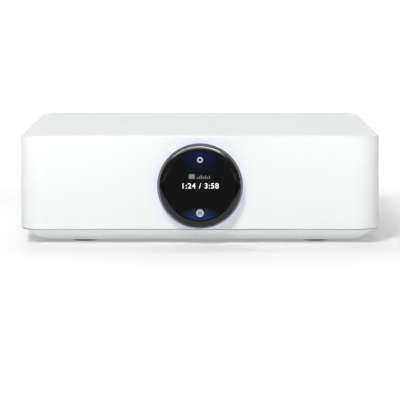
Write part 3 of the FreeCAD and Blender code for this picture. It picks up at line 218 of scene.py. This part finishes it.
def metal(name, colour, rough, stretch=None):
    """Plated or drawn metal: fine scratches, longer along one way with a stretch, and a change in tone."""
    shade, depth = 0.12, 0.01 * MM
    n = Nodes(name)
    lines = n.noise(900.0, 3.0, stretch)
    n.set(
        colour=n.mix(n.noise(60.0, 2.0), shaded(colour, shade), colour),
        metal=1.0,
        rough=n.spread(lines, rough - 0.06, rough + 0.08),
        normal=n.bump(lines, 0.3, depth),
    )
    return n.material


def shell_white():
    """Satin white polycarbonate. On the front wall round the dial its colour holds a little painted glow of
    the light ring and painted shade: bluer and darker near the ring, fading to the plain white.
    """
    span, glow_reach = 60 * MM, 36 * MM
    n = Nodes("shell_white_satin")
    x, y, z = n.axes()
    reach = n.distance(x, n.math("SUBTRACT", z, DIAL_Z))
    # Painted light and shade round the dial: a lavender glow of the light ring, darker in red and green near
    # the ring, fading to the plain white by 36 mm
    stops = [
        (0.0, (0.70, 0.73, 0.86)),
        (0.425, (0.72, 0.75, 0.87)),
        (0.46, (0.755, 0.785, 0.84)),
        (0.50, (0.78, 0.805, 0.82)),
        (0.60, (0.795, 0.81, 0.81)),
    ]
    painted_glow = n.ramp(n.math("DIVIDE", reach, span), stops, smooth=False)
    plain = n.mix(n.noise(16.0, 2.0), (0.785, 0.80, 0.80), (0.80, 0.812, 0.812))
    # Where the painted glow and shade go: the front wall, near the dial
    front = n.math("LESS_THAN", y, WALL_FRONT + 0.2 * MM)
    near = n.math("LESS_THAN", reach, glow_reach)
    n.set(
        colour=n.mix(n.math("MULTIPLY", front, near), plain, painted_glow),
        rough=n.spread(n.noise(520.0, 2.0), 0.36, 0.46),
        specular=0.06,
        normal=n.bump(n.noise(3400.0, 3.0), 0.25, 0.012 * MM),
    )
    return n.material


def black_gloss(name):
    """High-gloss black with faint polishing marks."""
    n = Nodes(name)
    n.set(
        colour=n.mix(n.noise(70.0, 2.0), (0.002, 0.002, 0.0025), (0.004, 0.004, 0.0045)),
        rough=n.spread(n.noise(240.0, 2.0), 0.09, 0.14),
        specular=0.6,
        normal=n.bump(n.noise(1500.0, 2.0), 0.05, 0.004 * MM),
    )
    return n.material


def glass_black():
    """Coated display glass, black because the display under it is."""
    n = Nodes("glass_black_coated")
    n.set(
        colour=n.mix(n.noise(30.0, 1.0), (0.0060, 0.0064, 0.0066), (0.0068, 0.0072, 0.0074)),
        rough=n.spread(n.noise(150.0, 1.0), 0.04, 0.08),
        specular=0.05,
        normal=n.bump(n.noise(700.0, 1.0), 0.02, 0.002 * MM),
    )
    return n.material


def light_guide():
    """Frosted light guide, lit lavender from behind."""
    n = Nodes("light_guide_frosted")
    n.set(
        colour=(0.80, 0.82, 0.92),
        rough=0.5,
        glow=n.mix(n.noise(160.0, 2.0), (0.60, 0.64, 1.0), (0.68, 0.72, 1.0)),
        glow_strength=1.1,
        normal=n.bump(n.noise(1800.0, 2.0), 0.2, 0.02 * MM),
    )
    return n.material


def lit(name, colour, strength):
    """A lit sign on the display, with the fine raster of its picture elements."""
    shade = 0.08
    n = Nodes(name)
    n.set(
        colour=(0.004, 0.004, 0.004),
        rough=0.25,
        specular=0.05,
        glow=n.mix(n.noise(5200.0, 1.0), shaded(colour, shade), colour),
        glow_strength=strength,
    )
    return n.material


def lit_patch(name, stops, centre, reach):
    """A dim glow that fades round a point of the display's middle line; stops are (share, colour)."""
    n = Nodes(name)
    x, _, z = n.axes()
    across = n.math("DIVIDE", x, reach[0] * MM)
    rise = n.math("DIVIDE", n.math("SUBTRACT", z, DIAL_Z + centre * MM), reach[1] * MM)
    n.set(
        colour=(0.0064, 0.0068, 0.0070),
        rough=n.spread(n.noise(150.0, 1.0), 0.04, 0.08),
        specular=0.05,
        glow=n.ramp(n.distance(across, rise), stops, smooth=False),
        glow_strength=1.0,
    )
    return n.material


def circuit_board():
    """Green solder mask over copper tracks."""
    n = Nodes("board_green_mask")
    tracks = n.tree.nodes.new("ShaderNodeTexBrick")
    tracks.inputs["Scale"].default_value = 140.0
    tracks.inputs["Mortar Size"].default_value = 0.05
    tracks.inputs["Color1"].default_value = (0.012, 0.10, 0.045, 1.0)
    tracks.inputs["Color2"].default_value = (0.015, 0.12, 0.055, 1.0)
    tracks.inputs["Mortar"].default_value = (0.03, 0.19, 0.09, 1.0)
    n.link(n.place, tracks.inputs["Vector"])
    n.set(
        colour=tracks.outputs["Color"],
        rough=n.spread(n.noise(300.0), 0.25, 0.4),
        coat=0.4,
        coat_rough=0.2,
        normal=n.bump(tracks.outputs["Fac"], 0.4, 0.03 * MM),
    )
    return n.material


def rubber(name, colour):
    """Matt rubber or silicone with an uneven tone."""
    shade = 0.2
    n = Nodes(name)
    n.set(
        colour=n.mix(n.noise(120.0, 3.0), shaded(colour, shade), colour),
        rough=n.spread(n.noise(500.0), 0.7, 0.88),
        specular=0.3,
        sheen=0.15,
        normal=n.bump(n.noise(2200.0, 3.0), 0.5, 0.03 * MM),
    )
    return n.material


FINISHES = {
    "white_shell": shell_white,
    "ring_black": lambda: black_gloss("ring_gloss_black"),
    "display_glass": glass_black,
    "light_guide": light_guide,
    "panel_grey": lambda: moulded("panel_grey_textured", (0.16, 0.165, 0.17), 0.55, 2200.0, 0.04 * MM, 0.08),
    "foot_rubber": lambda: rubber("foot_rubber_grey", (0.10, 0.10, 0.105)),
    "terminal_metal": lambda: metal("terminal_gold_plate", (0.93, 0.72, 0.36), 0.22, (1.0, 0.1, 1.0)),
    "contact_metal": lambda: metal("contact_nickel_plate", (0.72, 0.70, 0.66), 0.24, (1.0, 0.1, 1.0)),
    "cap_red": lambda: moulded("cap_red_plastic", (0.50, 0.018, 0.016), 0.34, 2000.0, coat=0.15),
    "cap_black": lambda: moulded("cap_black_plastic", (0.014, 0.014, 0.015), 0.34, 2000.0, coat=0.15),
    "insulator_black": lambda: moulded("insulator_black_plastic", (0.022, 0.022, 0.023), 0.48, 2000.0),
    "core_red": lambda: moulded("core_red_plastic", (0.55, 0.02, 0.018), 0.38, 2000.0),
    "core_white": lambda: moulded("core_white_plastic", (0.80, 0.80, 0.78), 0.38, 2000.0),
    "button_grey": lambda: moulded("button_grey_plastic", (0.30, 0.30, 0.31), 0.5, 2000.0),
    "board_green": circuit_board,
    "lamp_white": lambda: lit("lamp_white_lit", (0.80, 0.83, 1.0), 1.5),
    "display_panel": lambda: moulded("display_panel_dark", (0.012, 0.012, 0.014), 0.3, 2400.0),
    "ribbon_amber": lambda: moulded("ribbon_amber_film", (0.42, 0.17, 0.03), 0.3, 900.0, coat=0.5),
    "sink_metal": lambda: metal("sink_brushed", (0.60, 0.61, 0.62), 0.38, (1.0, 1.0, 0.06)),
    "chip_black": lambda: moulded("chip_black_epoxy", (0.018, 0.018, 0.019), 0.6, 3000.0),
    "pad_grey": lambda: rubber("pad_grey_silicone", (0.38, 0.39, 0.42)),
    "can_metal": lambda: metal("can_black_sleeve", (0.10, 0.11, 0.15), 0.35, (1.0, 1.0, 0.1)),
    "core_iron": lambda: metal("core_laminated", (0.26, 0.25, 0.24), 0.5, (1.0, 0.05, 1.0)),
    "winding_yellow": lambda: moulded("winding_tape", (0.62, 0.45, 0.06), 0.4, 1400.0, coat=0.3),
    "part_white": lambda: moulded("part_white_ceramic", (0.72, 0.72, 0.70), 0.4, 1800.0),
    "part_yellow": lambda: moulded("part_yellow_film", (0.66, 0.42, 0.05), 0.35, 1800.0, coat=0.3),
    "antenna_board": lambda: moulded("antenna_dark_board", (0.03, 0.05, 0.04), 0.4, 1600.0, coat=0.3),
}

# The materials that are made so far, by slot
MADE = {}


def finish_of(slot):
    """The material of a slot, made when it is first asked for."""
    if slot not in MADE:
        MADE[slot] = FINISHES[slot]()
    return MADE[slot]


# Object and mesh helpers

def in_scene(name, data):
    """A new object in the scene for a mesh, a curve, a light or a camera."""
    obj = bpy.data.objects.new(name, data)
    bpy.context.scene.collection.objects.link(obj)
    return obj


def new_object(name, mesh, material, body, sharp=32.0, replaces=()):
    """Puts a mesh in the scene as a piece; edges sharper than the given angle in degrees stay sharp."""
    obj = in_scene(name, mesh)
    mesh.materials.clear()
    mesh.materials.append(material)
    for face in mesh.polygons:
        face.use_smooth = True
    mesh.set_sharp_from_angle(angle=math.radians(sharp))
    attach(obj, body)
    if replaces:
        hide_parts(*replaces)


def mesh_from(name, build):
    """A mesh that the given function fills through bmesh."""
    mesh = bpy.data.meshes.new(name)
    shape = bmesh.new()
    build(shape)
    bmesh.ops.remove_doubles(shape, verts=shape.verts, dist=1e-7)
    bmesh.ops.recalc_face_normals(shape, faces=shape.faces)
    shape.to_mesh(mesh)
    shape.free()
    return mesh


def turned(shape, profile, centre, segments, axis="y", radius_at=None):
    """Adds a turned form: the profile is a closed outline of (radius, place along the axis)."""
    rings = []
    for radius, along in profile:
        ring = []
        for i in range(segments):
            angle = 2.0 * math.pi * i / segments
            reach = radius * (radius_at(angle) if radius_at else 1.0)
            u, v = reach * math.cos(angle), reach * math.sin(angle)
            if axis == "y":
                point = (centre[0] + u, centre[1] + along, centre[2] + v)
            else:
                point = (centre[0] + u, centre[1] + v, centre[2] + along)
            ring.append(shape.verts.new(point))
        rings.append(ring)
    for low, high in zip(rings, rings[1:] + rings[:1]):
        for i in range(segments):
            j = (i + 1) % segments
            shape.faces.new((low[i], low[j], high[j], high[i]))


def turned_mesh(name, profile, centre, segments):
    """The mesh of one turned form round the axis Y, from a profile in millimetres."""
    return mesh_from(name, lambda s: turned(s, in_mm(profile), centre, segments))


def arc(centre, radius, start, end, steps):
    """Points of a rounded edge in a profile, from one angle to another in degrees."""
    points = []
    for i in range(steps + 1):
        angle = math.radians(start + (end - start) * i / steps)
        points.append((centre[0] + radius * math.cos(angle), centre[1] + radius * math.sin(angle)))
    return points


def in_mm(points):
    """Points given in millimetres, as metres."""
    return [(a * MM, b * MM) for a, b in points]


def plate(shape, outline, front, back, axis="y"):
    """A flat piece: an outline of (x, z) points between two planes in Y, or of (x, y) points in Z."""
    def point(a, b, depth):
        return (a, depth, b) if axis == "y" else (a, b, depth)

    near = [shape.verts.new(point(a, b, front)) for a, b in outline]
    far = [shape.verts.new(point(a, b, back)) for a, b in outline]
    shape.faces.new(near)
    shape.faces.new(list(reversed(far)))
    for i in range(len(outline)):
        j = (i + 1) % len(outline)
        shape.faces.new((near[j], near[i], far[i], far[j]))


def round_outline(x, z, radius, steps=48):
    """A circle round a point."""
    return [
        (x + radius * math.cos(2 * math.pi * i / steps), z + radius * math.sin(2 * math.pi * i / steps))
        for i in range(steps)
    ]


def soft_rectangle(x, z, width, height, corner, steps=6):
    """A rectangle with rounded corners round a point."""
    outline = []
    for cx, cz, start in (
        (x + width / 2 - corner, z + height / 2 - corner, 0),
        (x - width / 2 + corner, z + height / 2 - corner, 90),
        (x - width / 2 + corner, z - height / 2 + corner, 180),
        (x + width / 2 - corner, z - height / 2 + corner, 270),
    ):
        outline += arc((cx, cz), corner, start, start + 90, steps)
    return outline


def cross_outline(arm, width):
    """A plus sign with square ends; width is half of the bar's."""
    return [
        (-width, -arm), (width, -arm), (width, -width), (arm, -width), (arm, width), (width, width),
        (width, arm), (-width, arm), (-width, width), (-arm, width), (-arm, -width), (-width, -width),
    ]


# The dial

def falling(radius, height, zones, steps=5):
    """Points of a face that falls away. A zone says where it ends and how steep it is there, in degrees."""
    points = [(radius, height)]
    # The face starts half as steep as its first zone ends
    steep = zones[0][1] * 0.5
    for end, tilt in zones:
        for i in range(steps):
            step = (end - radius) / (steps - i)
            share = (i + 0.5) / steps
            height -= step * math.tan(math.radians(steep + (tilt - steep) * share))
            radius += step
            points.append((radius, height))
        steep = tilt
    return points


def volume_ring():
    """The turning ring: a crowned bevel, a steep shoulder, a side that leans and a rounded foot."""
    # Each zone of the face ends this far in from the edge, and is this steep there
    ends = ((3.2, 14.0), (1.65, 30.0), (1.4, 46.0), (1.25, 68.0))
    zones = [(RING_EDGE - inwards, tilt) for inwards, tilt in ends]
    chamfer_in, chamfer_down, rounding = 0.05, 0.1, 0.25
    profile = falling(RING_BORE + chamfer_in, RING_CREST, zones)
    # The side leans out from there to the edge, just over the rounded foot
    profile += [(RING_EDGE - 0.04, RING_FOOT + 0.4), (RING_EDGE, RING_FOOT + 0.3)]
    profile += arc((RING_EDGE - rounding, RING_FOOT + rounding), rounding, 0, -90, 4)[1:]
    profile += [(RING_BORE, RING_FOOT), (RING_BORE, RING_CREST - chamfer_down)]
    profile = [(radius, -forward) for radius, forward in profile]
    mesh = turned_mesh("ring", profile, (0.0, WALL_FRONT, DIAL_Z), 256)
    gloss = finish_of("ring_black")
    new_object("ring_gloss", mesh, gloss, "dial_ring", 50.0, ["volume_ring"])


def dial_glass():
    """The glass: flat and coated over the display, with a black border that falls away towards the ring."""
    centre = (0.0, GLASS_FACE, DIAL_Z)
    back = (GLASS_HIGH.y - GLASS_FACE) / MM
    window = [(0.0, 0.0), (GLASS_WINDOW, 0.0), (GLASS_WINDOW, back), (0.0, back)]
    zones = ((GLASS_WINDOW + 0.15, 5.0), (GLASS_EDGE, 10.0))
    border = [(radius, -height) for radius, height in falling(GLASS_WINDOW, 0.0, zones)]
    border += [(GLASS_EDGE, back), (GLASS_WINDOW, back)]
    for name, profile, material in (
        ("glass_front", window, finish_of("display_glass")),
        ("glass_border", border, black_gloss("glass_border_black")),
    ):
        mesh = turned_mesh(name, profile, centre, 192)
        new_object(name, mesh, material, "housing", 50.0, ["dial_glass"])


def light_band():
    """The light guide behind the ring, with a rounded outer edge that the light leaves by."""
    low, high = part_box("light_ring")
    bore, edge = 18.45, 0.5
    outer = (high.x - low.x) / 2 / MM
    deep = (high.y - low.y) / MM
    profile = [(bore, -deep), (outer - edge, -deep)]
    profile += arc((outer - edge, -deep + edge), edge, -90, 0, 4)[1:]
    profile += [(outer, 0.0), (bore, 0.0)]
    mesh = turned_mesh("guide", profile, (0.0, high.y, DIAL_Z), 192)
    frosted = finish_of("light_guide")
    new_object("guide_frosted", mesh, frosted, "housing", 40.0, ["light_ring"])


def sign(name, outlines, material, layer=0):
    """A lit sign on the glass, made of one or more flat outlines in millimetres from the dial's middle."""
    lowest, step, clear = 0.012, 0.004, 0.001
    front = SIGN_FACE + (lowest - step * layer) * MM
    back = GLASS_FACE - clear * MM

    def build(shape):
        for outline in outlines:
            plate(shape, [(x * MM, DIAL_Z + (z + SIGN_LIFT) * MM) for x, z in outline], front, back)

    new_object(name, mesh_from(name, build), material, "housing")


def gear_outline(x, z, radius, teeth=8):
    """A gear round a point. A tooth's corners are given as shares of its turn and of the radius."""
    points = []
    for i in range(teeth):
        middle = 2 * math.pi * i / teeth
        for share, reach in ((-0.34, 0.84), (-0.22, 1.0), (0.22, 1.0), (0.34, 0.84)):
            angle = middle + share * 2 * math.pi / teeth
            points.append((x + radius * reach * math.cos(angle), z + radius * reach * math.sin(angle)))
    return points


def cap_outline(radius, low, steps=48):
    """The part of a round window that lies above a level."""
    start = math.degrees(math.asin(low / radius))
    return arc((0.0, 0.0), radius, start, 180.0 - start, steps)


def lens_outline(z, half, drop, rise, steps=24):
    """A lens between two arcs, `drop` below and `rise` above the line through its corners."""
    points = []
    for sense, height in ((1, rise), (-1, -drop)):
        for i in range(steps):
            share = -1 + 2 * i / steps
            x = -sense * share * half
            points.append((x, z + height * (1 - share * share)))
    return points


def plain_numbers(text, size, heavier):
    """A mesh of plain numbers in the middle of the glass; size and added weight are in millimetres."""
    thick, depth = 0.004 * MM, 0.006 * MM
    curve = bpy.data.curves.new("numbers_curve", "FONT")
    curve.body = text
    curve.size = size * MM
    curve.align_x = "CENTER"
    curve.align_y = "CENTER"
    curve.offset = heavier * MM
    curve.space_character = 1.14
    curve.resolution_u = 4
    curve.extrude = thick
    holder = in_scene("numbers_holder", curve)
    bpy.context.view_layer.update()
    mesh = bpy.data.meshes.new_from_object(holder.evaluated_get(bpy.context.evaluated_depsgraph_get()))
    bpy.data.objects.remove(holder)
    for vertex in mesh.vertices:
        across, up, out = vertex.co
        vertex.co = (across, SIGN_FACE + depth - out, DIAL_Z + SIGN_LIFT * MM + up)
    return mesh


def display():
    """What the display shows: a gear, a badge with level bars, a time in plain numbers and a pause sign."""
    grey = lit("sign_grey", (0.52, 0.55, 0.60), 1.0)
    dim = lit("sign_dim", (0.23, 0.235, 0.25), 1.0)
    white = lit("sign_white", (1.0, 1.0, 1.0), 1.15)
    dark = lit("sign_dark", (0.012, 0.016, 0.04), 1.0)
    night_stops = [
        (0.0, (0.003, 0.008, 0.060)),
        (0.4, (0.001, 0.004, 0.030)),
        (0.75, (0.0, 0.001, 0.005)),
        (1.0, (0.0, 0.0, 0.0)),
    ]
    night = lit_patch("sign_top_glow", night_stops, centre=18.5, reach=(14.0, 12.0))
    sign("sign_glow_top", [cap_outline(radius=20.6, low=5.5)], night)

    gear_level = 15.6
    sign("sign_gear", [gear_outline(0.0, gear_level, radius=1.85)], grey, 1)
    sign("sign_gear_hub", [round_outline(0.0, gear_level, radius=0.8, steps=20)], dark, 2)

    sign("sign_badge", [soft_rectangle(-4.9, 5.7, width=3.5, height=2.8, corner=0.6)], dim, 1)
    first_bar, bar_step, bar_foot, bar_width = -1.6, 1.2, 4.3, 0.62
    bars = []
    for i, height in enumerate((1.0, 1.6, 2.2, 1.4, 2.0, 1.1, 1.8)):
        x = first_bar + bar_step * i
        bars.append(soft_rectangle(x, bar_foot + height / 2, bar_width, height, corner=0.2, steps=3))
    sign("sign_bars", bars, dim, 1)
    numbers = plain_numbers("1:24 / 3:58", size=4.5, heavier=0.055)
    new_object("sign_numbers", numbers, white, "housing")

    blue_stops = [
        (0.0, (0.006, 0.027, 0.125)),
        (0.5, (0.005, 0.021, 0.073)),
        (1.0, (0.0, 0.005, 0.010)),
    ]
    blue = lit_patch("sign_low_glow", blue_stops, centre=-20.5, reach=(12.5, 9.0))
    sign("sign_glow_low", [lens_outline(-16.6, half=11.4, drop=3.7, rise=4.0)], blue)
    disc_level = -16.1
    sign("sign_disc", [round_outline(0.0, disc_level, radius=2.25)], grey, 1)
    pause = []
    for x in (-0.6, 0.6):
        pause.append(soft_rectangle(x, disc_level, width=0.6, height=1.9, corner=0.12, steps=3))
    sign("sign_pause", pause, dark, 2)


# The rear and the underside

def knurled_cap(name, colour):
    """A turning cap: fine grip ribs, a smooth collar, a rounded end and the plug bore through it."""
    node = f"terminal_cap_{name}"
    low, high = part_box(node)
    centre = ((low.x + high.x) / 2, low.y, (low.z + high.z) / 2)
    radius, length = (high.x - low.x) / 2, high.y - low.y
    bore, edge = 3.12 * MM, 0.35 * MM
    collar, slope, rim = 1.5 * MM, 0.3 * MM, 1.2 * MM
    grip_low, grip_high = 2.0 * MM, length - 1.4 * MM
    end, neck, root = radius * 0.9, radius * 0.93, radius * 0.92
    ribs, rib_depth = 30, 0.045
    segments = ribs * 8

    def ribbed(angle):
        return 1.0 - rib_depth * (0.5 + 0.5 * math.cos(ribs * angle)) ** 2

    body = [
        (bore, 0.0), (end - edge, 0.0), (end, edge), (end, collar),
        (neck, collar + slope), (neck, length - rim), (end, length - edge),
        (end - edge, length), (bore + edge, length), (bore, length - edge),
    ]
    grip = [(root, grip_low), (radius, grip_low), (radius, grip_high), (root, grip_high)]

    def build(shape):
        turned(shape, body, centre, segments)
        turned(shape, grip, centre, segments, radius_at=ribbed)

    mesh = mesh_from(f"cap_{name}", build)
    new_object(f"cap_grip_{name}", mesh, finish_of(colour), f"cap_{name}", 40.0, [node])


def feet():
    """Round rubber feet with a rounded rim and two fine grooves in the sole."""
    low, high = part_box("feet")
    radius, height = 8.5, (high.z - low.z) / MM
    rim, groove, side = 0.5, 0.25, 0.2
    profile = [(0.0, 0.0)]
    for start in (3.4, 5.8):
        end = start + 3 * side
        profile += [(start, 0.0), (start + side, groove), (end - side, groove), (end, 0.0)]
    profile += arc((radius - rim, rim), rim, -90, 0, 5) + [(radius, height), (0.0, height)]

    def build(shape):
        for x in (low.x + radius * MM, high.x - radius * MM):
            for y in (low.y + radius * MM, high.y - radius * MM):
                turned(shape, in_mm(profile), (x, y, low.z), 96, "z")

    rubber_grey = finish_of("foot_rubber")
    new_object("feet_soft", mesh_from("feet", build), rubber_grey, "housing", 30.0, ["feet"])


def screw(name, centre, radius, lift, axis, sense, material):
    """A small fastener: a domed head and a cross recess in it. The sense is the way that the head looks."""
    # The head's outline, in shares of its radius and its lift
    shares = ((0.0, 0.0), (1.0, 0.0), (1.0, 0.35), (0.86, 0.8), (0.55, 1.0), (0.0, 1.0))
    head = [(radius * out, sense * lift * up) for out, up in shares]
    mesh = mesh_from(name, lambda s: turned(s, head, centre, 40, axis))
    new_object(name, mesh, material, "housing", 30.0)

    face, level = (centre[1], centre[2]) if axis == "y" else (centre[2], centre[1])
    arm, width, proud, thick = radius * 0.5, radius * 0.11, 0.01 * MM, 0.05 * MM
    outline = [(centre[0] + a, level + b) for a, b in cross_outline(arm, width)]
    near = face + sense * (lift + proud)
    far = near - sense * thick
    recess = f"{name}_recess"
    mesh = mesh_from(recess, lambda s: plate(s, outline, near, far, axis))
    new_object(recess, mesh, finish_of("chip_black"), "housing", 30.0)


def fasteners():
    """Four screws in the base and four in the corners of the rear panel; places are in millimetres."""
    base_radius, base_lift = 2.6 * MM, 0.5 * MM
    panel_radius, panel_lift = 1.8 * MM, 0.9 * MM
    steel = metal("screw_steel", (0.42, 0.42, 0.43), 0.3)
    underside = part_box("feet")[1].z
    base_places = [(x, y) for y in (-78, 78) for x in (-89, 89)]
    panel_places = [(-85.8, 50), (85.8, 50), (-84, 16.5), (84, 16.4)]
    for i, (x, y) in enumerate(base_places):
        screw(f"screw_base_{i}", (x * MM, y * MM, underside), base_radius, base_lift, "z", -1, steel)
    for i, (x, z) in enumerate(panel_places):
        screw(f"screw_panel_{i}", (x * MM, PANEL_FACE, z * MM), panel_radius, panel_lift, "y", 1, steel)


def terminal_signs():
    """A plain plus or minus sign above each terminal."""
    white = moulded("sign_paint_white", (0.62, 0.62, 0.62), 0.6, 1600.0)
    arm, width, above = 1.9, 0.35, 11.4
    plus = cross_outline(arm, width)
    minus = [(-arm, -width), (arm, -width), (arm, width), (-arm, width)]
    front, back = PANEL_FACE + 0.03 * MM, PANEL_FACE - 0.02 * MM

    def build(shape):
        for side in ("left", "right"):
            for pole, outline in (("positive", plus), ("negative", minus)):
                low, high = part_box(f"terminal_cap_{side}_{pole}")
                x, z = (low.x + high.x) / 2, (low.z + high.z) / 2 + above * MM
                plate(shape, [(x + a * MM, z + b * MM) for a, b in outline], front, back)

    new_object("sign_terminals", mesh_from("marks", build), white, "housing", 30.0)


# The surroundings

def flat_sheet(name, x_range, y_range, z, material):
    """A level rectangle between two places in X and two in Y."""
    (left, right), (front, back) = x_range, y_range
    corners = ((left, front), (right, front), (right, back), (left, back))
    mesh = mesh_from(name, lambda s: s.faces.new([s.verts.new((x, y, z)) for x, y in corners]))
    mesh.materials.append(material)
    return in_scene(name, mesh)


def pale_floor():
    """A pale floor with painted light: a glow of its own that lifts its contact shadow and grows with the
    distance from the object.
    """
    half = 6.0
    glow_from, glow_to, glow_span = 0.14, 0.64, 2.0
    n = Nodes("floor_pale")
    x, y, _ = n.axes()
    # Painted light: the floor's glow, faint near the object and strong far off
    stops = [(glow_from / glow_span, (FLOOR_NEAR,) * 3), (glow_to / glow_span, (FLOOR_FAR,) * 3)]
    n.set(
        colour=n.mix(n.noise(3.0, 2.0), (0.79, 0.79, 0.79), (0.81, 0.81, 0.81)),
        rough=n.spread(n.noise(6.0, 2.0), 0.5, 0.6),
        specular=0.0,
        glow=n.ramp(n.math("DIVIDE", n.distance(x, y), glow_span), stops),
        glow_strength=1.0,
        normal=n.bump(n.noise(180.0, 2.0), 0.02, 0.2 * MM),
    )
    floor = flat_sheet("floor", (-half, half), (-half, half), 0.0, n.material)


def dark_card():
    """A matt black card before the object. It shows only in gloss, where it makes the dial's sides dark."""
    half, front, back, lift = 1.2, -1.3, -0.25, 1 * MM
    black = moulded("card_black", (0.004, 0.004, 0.004), 0.9, 300.0, specular=0.0)
    card = flat_sheet("card", (-half, half), (front, back), lift, black)
    card.visible_camera = False
    card.visible_diffuse = False
    card.visible_transmission = False
    card.visible_shadow = False


def grey_world():
    """The room: even all round, lighter overhead and bright behind the object."""
    # Each step is an axis of the direction, where the step starts and ends, and the strength at both
    steps = (
        ("Z", 0.0, 0.7, WORLD_EVEN, WORLD_EVEN + WORLD_TOP),
        ("Y", 0.6, 0.85, 0.0, WORLD_BACK),
    )
    world = bpy.data.worlds.new("studio")
    bpy.context.scene.world = world
    world.use_nodes = True
    tree = world.node_tree
    way = tree.nodes.new("ShaderNodeTexCoord")
    parts = tree.nodes.new("ShaderNodeSeparateXYZ")
    tree.links.new(way.outputs["Generated"], parts.inputs["Vector"])
    total = tree.nodes.new("ShaderNodeMath")
    total.operation = "ADD"
    for socket, (axis, start, end, low, high) in zip(total.inputs, steps):
        shade = tree.nodes.new("ShaderNodeMapRange")
        for limit, value in (("From Min", start), ("From Max", end), ("To Min", low), ("To Max", high)):
            shade.inputs[limit].default_value = value
        tree.links.new(parts.outputs[axis], shade.inputs["Value"])
        tree.links.new(shade.outputs["Result"], socket)
    background = tree.nodes["Background"]
    background.inputs["Color"].default_value = (1.0, 1.0, 1.0, 1.0)
    tree.links.new(total.outputs["Value"], background.inputs["Strength"])


def studio():
    """The softboxes, all turned to the dial."""
    for name, place, size, power, shows_on in SOFTBOXES:
        light = bpy.data.lights.new(name, "AREA")
        light.shape = "RECTANGLE"
        light.size, light.size_y = size
        light.energy = power
        holder = in_scene(name, light)
        holder.location = place
        holder.rotation_euler = (AIM - Vector(place)).to_track_quat("-Z", "Y").to_euler()
        holder.visible_diffuse = shows_on != "gloss"
        holder.visible_glossy = shows_on != "diffuse"


def camera():
    """The photograph's camera: a long lens before the box, a little above it and tilted down."""
    data = bpy.data.cameras.new("camera")
    data.lens = LENS
    data.sensor_width = FILM
    data.clip_start, data.clip_end = 0.05, 60.0
    holder = in_scene("camera", data)
    holder.location = CAMERA_PLACE
    holder.rotation_euler = (math.radians(CAMERA_TILT), 0.0, 0.0)
    bpy.context.scene.camera = holder


# The scene: every CAD node gets its slot's material, then the pieces and the surroundings are made

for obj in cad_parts.values():
    slot = obj.material_slots[0].material.name
    obj.data.materials.clear()
    obj.data.materials.append(finish_of(slot))

volume_ring()
dial_glass()
light_band()
display()
for side in ("left", "right"):
    knurled_cap(f"{side}_positive", "cap_red")
    knurled_cap(f"{side}_negative", "cap_black")
feet()
fasteners()
terminal_signs()
pale_floor()
dark_card()
grey_world()
studio()
camera()

settings = bpy.context.scene.view_settings
settings.view_transform = "Standard"
settings.look = "None"
settings.exposure = 0.0
settings.gamma = 1.0
